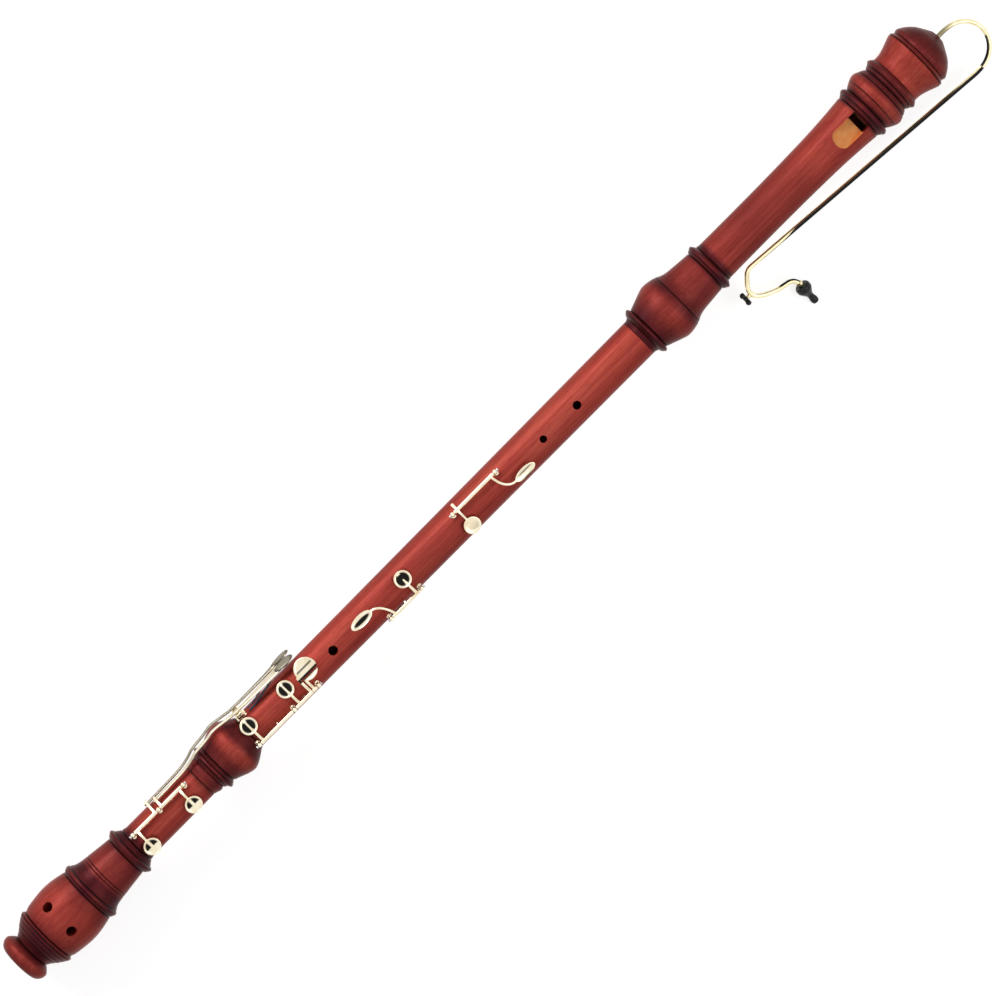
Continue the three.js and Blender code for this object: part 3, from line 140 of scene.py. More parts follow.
KEY = SimpleNamespace(
    axis_height=4.5, tube_radius=1.9, rod_radius=0.9, rod_head_radius=1.5, rod_head_length=1.3,
    post_ball_radius=2.3, post_stem_radius=1.4, post_foot_radius=2.5, post_foot_height=0.8,
    post_neck_rise=0.4, post_neck_flare=0.15, post_waist_share=0.86, post_pin_radius=1.1, post_pin_length=4,
    post_seat_depth=0.3, screw_slot_width=0.44, screw_slot_depth=0.55, arm_width=2.5, arm_thickness=1.8,
    arm_drop=0.6, cup_radius=8.5, cup_height=2.1, cup_rim_width=1, cup_dish=0.6, pad_radius=7.4,
    pad_thickness=2.8, seat_depth=1.6, seat_margin=0.9, tone_hole_radius=5.2, tone_hole_lip=0.5,
    touch_thickness=1.9, touch_dish=0.8, touch_clearance=1.4, touch_arm_radius=1.15, spring_radius=0.4,
    spring_height=1.85, catch_width=1.2,
)
RING_KEY = SimpleNamespace(
    start_share=0.5373, hinge_angle=-28, cup_angle=23, lift=3.6, low_post_at=0, cup_at=6.1,
    touch_arm_at=50.2, high_post_at=56.2, touch_at=76.1, touch_half_length=12.2, touch_half_width=5.1,
    tail_angle=-52, arm_end_angle=10,
)
INDEX_KEY = SimpleNamespace(
    start_share=0.3264, hinge_angle=50, cup_angle=-10, lift=3.6, low_post_at=0, touch_arm_at=6.2,
    cup_at=33.9, high_post_at=40, touch_at=-20.6, touch_half_length=12.7, touch_half_width=5.7,
    tail_angle=50, arm_end_angle=-10,
)
DOUBLE_KEY = SimpleNamespace(
    start_share=0, hinge_angle=33, cup_angle=-22, lift=3.6, low_post_at=-1.2, far_cup_at=4.6,
    middle_post_at=45.4, near_cup_at=53.1, near_arm_at=68.2, far_arm_at=72.4, high_post_at=77.6,
    touch_at=79.9, touch_radius=11.3, split_offset=5.6, split_gap=1.2, far_touch_angle=-3,
    arm_end_angle=-38,
)
FOOT_KEYS = SimpleNamespace(
    hinge_angle=-31.6, cup_angle=21.5, lift=4.4, low_post_at=1.2, low_cup_at=7, low_lug_at=31,
    middle_post_at=35.3, high_lug_at=39.6, high_cup_at=62, high_post_at=67.8, lug_margin_angle=6,
)
LEVER = SimpleNamespace(
    pivot_at=5.6, pivot_height=7, bar_rise=10.7, bar_width=3, bar_thickness=2, bulb_clearance=2.7,
    foot_clearance=2.8, lug_gap=0.35, hub_radius=2.4, pin_radius=0.9, touch_from_pivot=63.5,
    touch_rise=1.6, touch_half_length=11, touch_half_width=4.7, touch_offset=0.9, touch_dome=2,
    tip_beyond_lug=3.2, ring_share=0.5, rim_share=0.5, bulb_rise_share=0.25, bulb_crest_share=0.5,
    bulb_fall_share=0.8, touch_end_share=0.5, touch_flare=0.18, touch_flatness=0.65,
    outer_touch_width=5.4, inner_touch_width=8.4,
)
ARM_WIDTHS, TOUCH_ARM_WIDTHS, LUG_WIDTHS = (1.2, 0.8), (1.2, 1), (1.15, 0.95)  # shares at the two ends
OUTER_LEVER_ANGLE = -73
INNER_LEVER_ANGLE = -56.5
SADDLE = SimpleNamespace(
    length=7, stem_half_width=2.1, cheek=1.2, foot_length=11, foot_height=1.3, neck_height=3.2,
)
LEVER_SPRING = SimpleNamespace(
    width=2.4, thickness=0.6, start=9, reach=36, gap=1.25,
    line_shares=[(0, 0), (0.17, 0), (0.67, 0.5), (1, 1)],
)
THUMB_REST = SimpleNamespace(
    at_share=0.2675, length=24, half_angle=22, thickness=1.6, height=11, width=9, foot_end_share=0.86,
    hook_shares=[(-0.87, 0), (0, 0), (0.5, 0.5), (0.33, 0.92), (-0.25, 1)],
)
SLING_RING = SimpleNamespace(
    at_share=0.5158, radius=4.9, wire_radius=1.1, foot_radius=4, foot_height=1.6, foot_slope=0.5,
    foot_top_share=0.6,
)
CROOK = SimpleNamespace(
    radius=2.5, bore_radius=1.7, inside_cap=20, out_of_cap=9.4, loop_radius=28.2, loop_angle=185.2,
    run_length=283.8, elbow_radius=9.5, elbow_angle=56.3, drop_length=11, heel_radius=11.4,
    heel_angle=91.8, link_length=5.7, swell_radius=40.8, swell_angle=33.5, neck_radius=9.8,
    neck_heading=90, lead_length=9.7, bend_step_angle=23,
)
CROOK_CORK = SimpleNamespace(wall=1.5, length=13)
FERRULE = SimpleNamespace(length=4, wall=0.9, step=0.3, bead_start=2.6, bead_end=2.2)
MOUTHPIECE = SimpleNamespace(
    length=23.6, radius=7.9, socket_depth=7.5, bore_radius=1.6, end_share=0.86,
    outline_shares=[
        (0, 0.8), (0.1, 1), (0.24, 1), (0.42, 0.7), (0.56, 0.45), (0.7, 0.42), (0.82, 0.5), (0.96, 0.46),
    ],
)
DRAIN = SimpleNamespace(
    stub_radius=2.1, stub_length=3.4, spigot_radius=0.9, spigot_length=2.4, hub_length=5.6,
    collar_length=0.8, barrel_radius=2.1, lobe_radius=2.9, lobe_spread=4.6,
)

# Fits of the finished pieces. The frame's turned solids have 16 or 14 facets, and the pieces lie within
# those; where metal stands on wood it is sunk a little
SEAT_GAP = 0.3
RUNNING_GAP = 0.3
FINE_GAP = 0.08
SUNK = 0.05
OVERRUN = 8
ROUND = math.cos(math.pi / 16)
MOUTHPIECE_ROUND = math.cos(math.pi / 14)

# How the edges are rounded
EDGE = SimpleNamespace(
    wood=0.35, seat=0.3, block=0.25, tenon_cork=0.4, tube=0.25, post=0.2, rod=0.25, cup=0.3, pad=0.7,
    arm=0.55, lug=0.5, lever=0.6, saddle=0.22, pin=0.2, leaf=0.12, hook=0.55, hook_foot=0.5, sling_foot=0.4,
    ferrule=0.25, crook_cork=0.3, mouthpiece=0.5, drain=0.2, barrel=0.3,
)
HOLE = SimpleNamespace(lip=0.45, sides=48, rim_rows=[(-1.2, 0), (-0.35, 0.12), (-0.1, 0.5), (0.3, 1.4)])

# How painted shade lies in the hollows and fine lines of the wood, and on its inside
PAINTED_SHADE = SimpleNamespace(
    step=0.5, reach=12, turning_height=2.2, hollow_share=0.35, hollow_depth=5, line_spread=1.45, skin=1.6,
    inside_groove=0.3, inside_tone=0.6,
)

# How finely the pieces are made: sides of round ones, steps along lines in millimetres, steps of bends, the
# angles that count as corners, the limits of a rounding, points that are merged and faces that look up
WOOD_SIDES, METAL_SIDES, TUBE_SIDES, WIDE_SIDES, CUP_SIDES, TOUCH_SIDES = 96, 24, 32, 48, 64, 72
RING_SIDES, LOBE_SIDES, PIN_SIDES, WIRE_SIDES, NEEDLE_SIDES = 56, 40, 28, 20, 12
WOOD_STEP, TUBE_STEP, DISH_STEP, PLATE_STEP, LEVER_STEP = 0.9, 3.2, 0.5, 0.4, 1.3
SPRING_STEP, HOOK_STEP, MOUTHPIECE_STEP = 1.2, 0.8, 0.6
CORNER_STEPS, PILL_STEPS, ROUTE_STEPS, BALL_STEPS, LOBE_STEPS, DOME_STEPS = 3, 4, 5, 10, 20, 22
BEND_STEPS, BAND_STEPS, ARM_STEPS = 24, 26, 28
CORNER_ANGLE, SHARP_ANGLE, WOOD_SHARP_ANGLE, BEVEL_ANGLE = 22, 35, 40, 40
WIDEST_TURN, CORNER_SHARE, NARROWEST_TIP = 2.6, 0.45, 0.03
MERGED = 0.002
UPPER_SIDE = 0.6

# Floor, light and camera, in metres and degrees; the picture's right is given as its shares along and across
# the body
STAGE = SimpleNamespace(
    floor_half_size=12, floor_depth=0.0004, floor_glow=0.74, floor_dimmed=0.22, world_light=0.2, lens=180,
    camera_tilt=10, camera_distance=4.7, camera_target=(-0.004, 0.021, 0.034), right=(0.70396, 0.71024),
)
LIGHTS = [  # name, place, size, watts
    ("key_light", (-0.3, 2.1, 1.05), (1.8, 1.0), 30),
    ("fill_light", (1.4, -1.2, 2.4), (2.2, 2.2), 20),
]


# Lengths that follow from the stretches
def length_of(stretches):
    return sum(stretch[0] for stretch in stretches)


FOOT_LENGTH = length_of(FOOT)
FOOT_TUBE_START = FOOT_LENGTH - FOOT[-1][0] - FOOT[-2][0]
MIDDLE_START = FOOT_LENGTH + SEAT_GAP
MIDDLE_TUBE_START = MIDDLE_START + MIDDLE[0][0] + MIDDLE[1][0]
MIDDLE_END = MIDDLE_TUBE_START + MIDDLE[2][0]
HEAD_START = MIDDLE_END + SEAT_GAP
WINDOW_END = HEAD_START + length_of(HEAD[:5])
HEAD_END = HEAD_START + length_of(HEAD)
CAP_START = HEAD_END + SEAT_GAP
CAP_END = CAP_START + length_of(CAP)


def on_middle_tube(share):
    return MIDDLE_TUBE_START + share * MIDDLE[2][0]


# Lines and outlines
def spline(points, step, uniform=False):
    """Smooth line through points, sampled about every step."""
    points = np.array(points, float)
    gaps = np.linalg.norm(np.diff(points, axis=0), axis=1)
    knots = np.concatenate([[0], np.cumsum(np.ones(len(gaps)) if uniform else np.sqrt(gaps))])
    if len(points) < 3:
        slopes = np.array([(points[1] - points[0]) / knots[1]] * 2)
    else:
        slopes = np.gradient(points, knots, axis=0, edge_order=1 if uniform else 2)
    line = [points[0]]
    for i, gap in enumerate(gaps):
        span = knots[i + 1] - knots[i]
        for share in np.linspace(0, 1, max(1, math.ceil(gap / step)) + 1)[1:]:
            square, cube = share ** 2, share ** 3
            line.append(
                (2 * cube - 3 * square + 1) * points[i] + (cube - 2 * square + share) * span * slopes[i]
                + (3 * square - 2 * cube) * points[i + 1] + (cube - square) * span * slopes[i + 1]
            )
    return [tuple(float(value) for value in point) for point in line]


def rounded(outline, radius):
    """Outline with its sharp corners rounded off; it may close on itself."""
    closed = outline[0] == outline[-1]
    points = [Vector(point) for point in (outline[:-1] if closed else outline)]
    done = []
    for i, here in enumerate(points):
        to_before, to_after = points[i - 1] - here, points[(i + 1) % len(points)] - here
        at_end = not closed and i in (0, len(points) - 1)
        at_corner = not at_end and to_before.length > 0 and to_after.length > 0
        turn = math.pi - to_before.angle(to_after) if at_corner else 0
        if turn < math.radians(CORNER_ANGLE):
            done.append(tuple(here))
            continue
        longest = CORNER_SHARE * min(to_before.length, to_after.length)
        reach = min(radius * math.tan(min(turn, WIDEST_TURN) / 2), longest)
        start, end = here + to_before.normalized() * reach, here + to_after.normalized() * reach
        for step in range(CORNER_STEPS + 1):
            share = step / CORNER_STEPS
            done.append(tuple(start.lerp(here, share).lerp(here.lerp(end, share), share)))
    return done + [done[0]] if closed else done


def stations(stretches, start):
    """Stations of a turned piece's outside, as [along, out]."""
    points = []
    for length, radius, shares in stretches:
        points += [(start + along * length, out * radius) for along, out in shares]
        start += length
    return points


def profile(stretches, start, lines):
    """Smooth outside of a turned piece, with a groove where two stretches meet and fine turned lines."""
    line = []
    for length, radius, shares in stretches:
        run = [(start + along * length, ROUND * out * radius) for along, out in shares]
        if line and shares[0][0] > 0:
            run.insert(0, line[-1])
        smooth = spline(run, WOOD_STEP if len(run) > 2 else TUBE_STEP)
        smooth = [(x, min(out, max(out for _, out in run))) for x, out in smooth]
        line += smooth[1:] if line and run[0] == line[-1] else smooth
        start += length
    for at, half, _ in lines:
        for share in (-1, -0.5, 0, 0.5, 1):
            place = at + share * half
            after = next(i for i, point in enumerate(line) if point[0] > place)
            (x0, out0), (x1, out1) = line[after - 1], line[after]
            line.insert(after, (place, out0 + (out1 - out0) * (place - x0) / (x1 - x0)))
    return [
        (x, out - sum(depth * max(0.0, 1 - abs(x - at) / half) for at, half, depth in lines))
        for x, out in line
    ]


def wood_radius(at):
    """Radius of the frame's wood at a place along the body."""
    surface = stations(FOOT, 0) if at < MIDDLE_START else stations(MIDDLE, MIDDLE_START)
    return float(np.interp(at, [point[0] for point in surface], [point[1] for point in surface]))


def around(angle, radius):
    """Point of the cross-section, as (y, z); the angle is from +Z towards -Y."""
    return -radius * math.sin(math.radians(angle)), radius * math.cos(math.radians(angle))


# Closed meshes, as (points, faces)
def outward(points, faces):
    points = np.array(points, float)
    volume = 0
    for face in faces:
        for b, c in zip(face[1:-1], face[2:]):
            volume += np.dot(points[face[0]], np.cross(points[b], points[c]))
    return points, faces if volume > 0 else [tuple(reversed(face)) for face in faces]


def loft(rings, closed=False, poles=(None, None)):
    """Skin through rings of equally many points; its ends are flat, or drawn to a pole."""
    count = len(rings[0])
    points = [tuple(point) for ring in rings for point in ring]
    faces = []
    for i in range(len(rings) if closed else len(rings) - 1):
        near, far = i * count, (i + 1) % len(rings) * count
        for j in range(count):
            after = (j + 1) % count
            faces.append((near + j, near + after, far + after, far + j))
    if not closed:
        ends = (list(range(count)), list(range(len(points) - 1, len(points) - count - 1, -1)))
        for ring, pole in zip(ends, poles):
            if pole is None:
                faces.append(tuple(reversed(ring)))
                continue
            points.append(tuple(pole))
            faces += [(ring[j - 1], len(points) - 1, ring[j]) for j in range(count)]
    return outward(points, faces)


def turned(outline, sides=METAL_SIDES):
    """Turned piece about X, from [along, out] that starts and ends on the axis or closes on itself."""
    closed = outline[0] == outline[-1]
    turns = [2 * math.pi * (i + 0.5) / sides for i in range(sides)]
    rings = [
        [(along, out * math.sin(turn), out * math.cos(turn)) for turn in turns]
        for along, out in (outline[:-1] if closed else outline[1:-1])
    ]
    return loft(rings, closed, [(outline[i][0], 0, 0) for i in (0, -1)])


def upright(outline, sides):
    """Turned piece about Z, from [up, out]."""
    points, faces = turned(outline, sides)
    return outward(points[:, [2, 1, 0]], faces)


def bar(start, end, radius, chamfer=0.0, sides=METAL_SIDES):
    """Round bar about X, with its ends chamfered."""
    chamfers = [(start + chamfer, radius), (end - chamfer, radius)] if chamfer else []
    return turned([
        (start, 0), (start, radius - chamfer), *chamfers, (end, radius - chamfer), (end, 0),
    ], sides)


def moved(shape, x=0.0, y=0.0, z=0.0):
    return shape[0] + np.array((x, y, z)), shape[1]


def turned_about(shape, angle, y=0.0, z=0.0):
    """Shape turned about a line along X through (y, z)."""
    cos, sin = math.cos(math.radians(angle)), math.sin(math.radians(angle))
    points = shape[0] - np.array((0, y, z))
    points = points @ np.array(((1, 0, 0), (0, cos, sin), (0, -sin, cos)))
    return points + np.array((0, y, z)), shape[1]


def stood(outline, sides, at, angle):
    """Turned piece, from [up, out], that stands on the body at a place and an angle."""
    return turned_about(moved(upright(outline, sides), at), angle)


def about_x(angle):
    return Matrix.Rotation(math.radians(angle), 4, "X")


def pill(width, height, corner):
    """Rounded rectangle of offsets (across, up)."""
    ring = []
    for quarter, (side, lift) in enumerate(((1, 1), (-1, 1), (-1, -1), (1, -1))):
        for step in range(PILL_STEPS + 1):
            turn = math.pi / 2 * (quarter + step / PILL_STEPS)
            ring.append((
                side * (width / 2 - corner) + corner * math.cos(turn),
                lift * (height / 2 - corner) + corner * math.sin(turn),
            ))
    return ring


def circle(radius, sides=METAL_SIDES):
    return [
        (radius * math.cos(2 * math.pi * i / sides), radius * math.sin(2 * math.pi * i / sides))
        for i in range(sides)
    ]


def rings_along(points, section, across=None, scales=None):
    """Rings of a section set square on a line; across is a fixed direction, or None to carry it along."""
    points = [Vector(point) for point in points]
    scales = scales or [(1, 1)] * len(points)
    rings = []
    side = Vector(across) if across else None
    for i, point in enumerate(points):
        tangent = (points[min(i + 1, len(points) - 1)] - points[max(i - 1, 0)]).normalized()
        if side is None:
            side = tangent.orthogonal()
        if not across:
            side = side - tangent * side.dot(tangent)
        side = side.normalized()
        up = side.cross(tangent)
        wide, high = scales[i]
        rings.append([point + side * a * wide + up * b * high for a, b in section])
    return rings


def swept(points, section, across=None, scales=None):
    return loft(rings_along(points, section, across, scales))


def slab(outline, width):
    """Outline of [x, z] points, given a width in Y."""
    return loft([[(x, side * width / 2, z) for x, z in outline] for side in (-1, 1)])


def cross_slab(outline, at, width):
    """Outline of [y, z] points, given a width in X at a place along the body."""
    return loft([[(at + side * width / 2, y, z) for y, z in outline] for side in (-1, 1)])


def cross_box(at, length, ys, zs):
    """Block at a place along the body, from one y to another and from one z to another."""
    (y0, y1), (z0, z1) = ys, zs
    return cross_slab([(y0, z0), (y1, z0), (y1, z1), (y0, z1)], at, length)


def tip_width(from_end, width):
    """Scale that rounds off the end of a strip of a width as seen from above."""
    share = max(0.0, 1 - from_end / (width / 2))
    return math.sqrt(max(NARROWEST_TIP, 1 - share ** 2))


def end_rounding(count, length, width):
    """Scales that round off both ends of a strip."""
    return [(tip_width(min(i, count - 1 - i) / (count - 1) * length, width), 1) for i in range(count)]


def band(start, end, inner, thickness, at, width, corner, widths=(1, 1), tip=True):
    """Band round the body's axis from one angle to another, with its far end rounded where it has a tip."""
    radius = inner + thickness / 2
    arc = abs(math.radians(end - start)) * radius
    points, scales = [], []
    for i in range(BAND_STEPS + 1):
        share = 1 - (1 - i / BAND_STEPS) ** 1.6
        points.append((at, *around(start + (end - start) * share, radius)))
        wide = widths[0] + (widths[1] - widths[0]) * share
        scales.append((wide * (tip_width((1 - share) * arc, width) if tip else 1), 1))
    return swept(points, pill(width, thickness, corner), (1, 0, 0), scales)


# Blender objects
ORIGIN = Vector((
    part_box("foot_joint")[0].x * 1000,
    *[(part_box("cap")[0][axis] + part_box("cap")[1][axis]) * 500 for axis in (1, 2)],
))
TO_WORLD = Matrix.Scale(0.001, 4) @ Matrix.Translation(ORIGIN)


def mesh_of(shape):
    """Mesh of a shape, or the mesh that it is already."""
    if isinstance(shape, bpy.types.Mesh):
        return shape
    mesh = bpy.data.meshes.new("solid")
    mesh.from_pydata([tuple(point) for point in shape[0]], [], [tuple(face) for face in shape[1]])
    mesh.update()
    return mesh


def placed(name, data):
    """Object of the scene that holds a mesh, light or camera."""
    made = bpy.data.objects.new(name, data)
    bpy.context.scene.collection.objects.link(made)
    return made


def modified(mesh, kind, choices):
    """Mesh after one modifier for each set of choices."""
    target = placed("working", mesh)
    for settings in choices:
        modifier = target.modifiers.new("step", kind)
        for name, value in settings.items():
            setattr(modifier, name, value)
    bpy.context.view_layer.update()
    done = bpy.data.meshes.new_from_object(target.evaluated_get(bpy.context.evaluated_depsgraph_get()))
    bpy.data.objects.remove(target)
    return done


def combined(base, others, operation):
    """Mesh of a shape that is joined with, cut by or kept inside the others."""
    tools = [placed("working", mesh_of(other)) for other in others]
    done = modified(mesh_of(base), "BOOLEAN", [
        {"operation": operation, "solver": "MANIFOLD", "object": tool} for tool in tools
    ])
    for tool in tools:
        bpy.data.objects.remove(tool)
    return done


def join(base, *others):
    return combined(base, others, "UNION")


def cut(base, *others):
    return combined(base, others, "DIFFERENCE")


def eased(mesh, width):
    """Mesh with its sharp edges bevelled."""
    return modified(mesh, "BEVEL", [{
        "width": width, "segments": 2, "limit_method": "ANGLE", "angle_limit": math.radians(BEVEL_ANGLE),
    }])


def piece(node, shape, material, body, sharp=SHARP_ANGLE):
    """Finished piece that stands for a node of the frame."""
    mesh = mesh_of(shape)
    tidy = bmesh.new()
    tidy.from_mesh(mesh)
    bmesh.ops.remove_doubles(tidy, verts=tidy.verts, dist=MERGED)
    bmesh.ops.dissolve_degenerate(tidy, edges=tidy.edges, dist=MERGED)
    tidy.to_mesh(mesh)
    tidy.free()
    mesh.materials.clear()
    mesh.materials.append(material)
    mesh.shade_smooth()
    mesh.set_sharp_from_angle(angle=math.radians(sharp))
    mesh.transform(TO_WORLD)
    made = placed("fine_" + node, mesh)
    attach(made, body)
    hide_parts(node)
    return made


# Materials
class Finish:
    """Node material that is built up step by step."""

    def __init__(self, name):
        self.material = bpy.data.materials.new(name)
        self.material.use_nodes = True
        self.tree = self.material.node_tree
        self.shader = self.tree.nodes["Principled BSDF"]

    def put(self, socket, value):
        if isinstance(value, bpy.types.NodeSocket):
            self.tree.links.new(value, socket)
        else:
            socket.default_value = value

    def add(self, kind, settings=None, **inputs):
        node = self.tree.nodes.new("ShaderNode" + kind)
        for name, value in (settings or {}).items():
            setattr(node, name, value)
        for name, value in inputs.items():
            self.put(node.inputs[name.replace("_", " ")], value)
        return node

    def shade(self, **inputs):
        for name, value in inputs.items():
            self.put(self.shader.inputs[name.replace("_", " ")], value)
        return self.material

    def stretched(self, *scale):
        """Place on the object, in metres, stretched by a scale for each axis."""
        place = self.add("TexCoord").outputs["Object"]
        return self.add("Mapping", Vector=place, Scale=scale).outputs["Vector"]

    def noise(self, place, scale=1.0, detail=4.0, roughness=0.55, distortion=0.0):
        return self.add(
            "TexNoise", Vector=place, Scale=scale, Detail=detail, Roughness=roughness,
            Distortion=distortion,
        ).outputs["Fac"]

    def ramp(self, value, *stops):
        """Value run through stops of (place, colour or level)."""
        node = self.add("ValToRGB", Fac=value)
        elements = node.color_ramp.elements
        while len(elements) < len(stops):
            elements.new(0.5)
        for element, (place, colour) in zip(elements, stops):
            element.position = place
            element.color = (colour,) * 3 + (1,) if isinstance(colour, (int, float)) else (*colour, 1)
        return node.outputs["Color"]

    def mixed(self, share, first, second):
        """Mix of two colours, each a socket or (red, green, blue)."""
        node = self.add("Mix", {"data_type": "RGBA"})
        for index, value in ((0, share), (6, first), (7, second)):
            self.put(node.inputs[index], (*value, 1) if isinstance(value, tuple) else value)
        return node.outputs[2]

    def level(self, operation, first, second):
        node = self.add("Math", {"operation": operation})
        self.put(node.inputs[0], first)
        self.put(node.inputs[1], second)
        return node.outputs[0]

    def spread(self, value, low, high):
        """Level from 0 to 1 spread over low to high."""
        return self.add("MapRange", Value=value, To_Min=low, To_Max=high).outputs["Result"]

    def bump(self, height, strength, distance):
        return self.add("Bump", Height=height, Strength=strength, Distance=distance).outputs["Normal"]


def stained_wood_and_painted_shade():
    make = Finish("stained_wood_and_painted_shade")
    fibre = make.noise(make.stretched(9, 330, 330), detail=6.0, roughness=0.6)
    figure = make.noise(make.stretched(7, 26, 26), detail=3.0, distortion=0.6)
    cloud = make.noise(make.stretched(16, 38, 38), detail=2.0)
    pores = make.ramp(make.noise(make.stretched(70, 1900, 1900), detail=2.0), (0.56, 0), (0.66, 1))
    grain = make.level("ADD", make.level("MULTIPLY", fibre, 0.55), make.level("MULTIPLY", figure, 0.45))
    colour = make.ramp(
        grain, (0.34, (0.54, 0.092, 0.076)), (0.5, (0.78, 0.155, 0.12)), (0.66, (0.97, 0.27, 0.19)),
    )
    # Tone is painted highlight and shade along the turnings, broken up at random by the cloud; it mixes in a
    # dark purple
    tone = make.add("Attribute", {"attribute_name": "tone"}).outputs["Fac"]
    patchy = make.level("MULTIPLY", tone, make.spread(cloud, 0.5, 1.5))
    colour = make.mixed(make.level("MINIMUM", patchy, 1.0), colour, (0.13, 0.022, 0.042))
    # Groove is painted shade in the hollows, the fine lines and inside, mixed towards black
    groove = make.add("Attribute", {"attribute_name": "groove"}).outputs["Fac"]
    colour = make.mixed(make.level("MULTIPLY", groove, 0.93), colour, (0.012, 0.003, 0.004))
    colour = make.mixed(make.level("MULTIPLY", pores, 0.35), colour, (0.06, 0.006, 0.006))
    height = make.level("SUBTRACT", fibre, make.level("MULTIPLY", pores, 0.6))
    return make.shade(
        Base_Color=colour,
        Metallic=0.2,
        Roughness=make.spread(fibre, 0.4, 0.5),
        Specular_IOR_Level=0.05,
        Coat_Weight=1.0,
        Coat_IOR=1.12,
        Coat_Tint=(0.72, 0.50, 0.46, 1),
        Coat_Roughness=0.3,
        Normal=make.bump(height, 0.18, 0.0003),
    )


def raw_wood():
    """Unstained wood that shows where the tube was cut after staining."""
    make = Finish("raw_wood")
    fibre = make.noise(make.stretched(14, 500, 500), detail=5.0)
    colour = make.ramp(fibre, (0.3, (0.92, 0.28, 0.06)), (0.7, (1.0, 0.44, 0.12)))
    return make.shade(
        Base_Color=colour,
        Roughness=make.spread(fibre, 0.5, 0.65),
        Normal=make.bump(fibre, 0.15, 0.0002),
    )


def cedar():
    make = Finish("cedar")
    fibre = make.noise(make.stretched(18, 620, 620), detail=5.0)
    colour = make.ramp(fibre, (0.3, (0.25, 0.10, 0.045)), (0.7, (0.46, 0.23, 0.12)))
    return make.shade(
        Base_Color=colour,
        Roughness=make.spread(fibre, 0.62, 0.8),
        Normal=make.bump(fibre, 0.3, 0.0003),
    )


def cork_bark():
    make = Finish("cork")
    place = make.stretched(1, 1, 1)
    cells = make.add("TexVoronoi", Vector=place, Scale=900.0).outputs["Distance"]
    patches = make.noise(place, 260.0, 4.0)
    grain = make.level("MULTIPLY", make.level("ADD", cells, patches), 0.6)
    colour = make.ramp(
        grain, (0.25, (0.16, 0.075, 0.032)), (0.42, (0.42, 0.235, 0.105)), (0.7, (0.60, 0.39, 0.2)),
    )
    return make.shade(Base_Color=colour, Roughness=0.9, Normal=make.bump(grain, 0.5, 0.0004))


def polished(name, dull, bright, rough, dark=None):
    """Polished metal with fine rubbing marks, a little tarnish and, where it's given dark, painted
    reflections and painted shade that are dark and not metallic.
    """
    make = Finish(name)
    patches = make.noise(make.stretched(90, 90, 90), detail=3.0)
    rubbed = make.noise(make.stretched(420, 2600, 2600), detail=3.0)
    tarnish = make.ramp(patches, (0.38, 0.0), (0.72, 1.0))
    colour, metallic = make.mixed(make.level("MULTIPLY", tarnish, 0.55), bright, dull), 1.0
    if dark:
        # The attribute read here holds painted reflection and painted shade; there the metal turns dark and
        # not metallic
        painted_shade_and_reflection = make.add("Attribute", {"attribute_name": "painted_shade_and_reflection"}).outputs["Fac"]
        colour, metallic = make.mixed(painted_shade_and_reflection, colour, dark), make.level("SUBTRACT", 1.0, painted_shade_and_reflection)
    smear = make.level("ADD", make.level("MULTIPLY", patches, 0.7), make.level("MULTIPLY", rubbed, 0.3))
    return make.shade(
        Base_Color=colour,
        Metallic=metallic,
        Specular_IOR_Level=0.1,
        Roughness=make.spread(smear, rough, rough + 0.2),
        Normal=make.bump(rubbed, 0.04, 0.0001),
    )


def leather_pad():
    make = Finish("pad_leather")
    place = make.stretched(1, 1, 1)
    cells = make.add("TexVoronoi", {"feature": "DISTANCE_TO_EDGE"}, Vector=place, Scale=1400.0)
    patches = make.noise(place, 300.0, 3.0)
    colour = make.ramp(patches, (0.3, (0.58, 0.50, 0.38)), (0.7, (0.80, 0.74, 0.62)))
    return make.shade(
        Base_Color=colour,
        Roughness=make.spread(patches, 0.7, 0.9),
        Sheen_Weight=0.15,
        Normal=make.bump(cells.outputs["Distance"], 0.25, 0.0003),
    )


def black_gloss():
    """Black plastic with handling marks."""
    make = Finish("black_plastic")
    marks = make.noise(make.stretched(500, 500, 500), detail=4.0)
    smears = make.noise(make.stretched(70, 70, 70), detail=2.0)
    colour = make.ramp(marks, (0.3, (0.006, 0.006, 0.007)), (0.75, (0.02, 0.019, 0.02)))
    return make.shade(
        Base_Color=colour,
        Roughness=make.spread(smears, 0.22, 0.42),
        Specular_IOR_Level=0.25,
        Normal=make.bump(marks, 0.08, 0.0002),
    )


WOOD = stained_wood_and_painted_shade()
RAW_WOOD = raw_wood()
CEDAR = cedar()
CORK = cork_bark()
# Near-black of the painted reflections and painted shade on the keys and the crook
PAINTED_SHADE_AND_REFLECTION_BLACK = (0.012, 0.011, 0.009)
BRASS = polished("pale_brass", (0.70, 0.55, 0.32), (0.95, 0.86, 0.66), 0.10, PAINTED_SHADE_AND_REFLECTION_BLACK)
# The lever brass's dark colour is for painted reflection and painted shade on the levers' bars and touches
LEVER_BRASS = polished("lever_brass", (0.42, 0.35, 0.24), (0.68, 0.61, 0.47), 0.14, (0.13, 0.12, 0.09))
CROOK_BRASS = polished("crook_brass", (0.58, 0.43, 0.18), (0.93, 0.82, 0.52), 0.09, PAINTED_SHADE_AND_REFLECTION_BLACK)
STEEL = polished("steel", (0.28, 0.27, 0.26), (0.60, 0.60, 0.61), 0.18)
BLUED_STEEL = polished("blued_steel", (0.025, 0.028, 0.04), (0.06, 0.065, 0.09), 0.2)
PAD = leather_pad()
BLACK = black_gloss()


# Wood
def tenon(shoulder, size):
    start, end = (shoulder + share * size.length for share in size.cork_shares)
    groove = size.radius - CORK_DEPTH
    return [
        (shoulder, size.radius), (start, size.radius), (start, groove),
        (end, groove), (end, size.radius), (shoulder + size.length, size.radius),
    ]


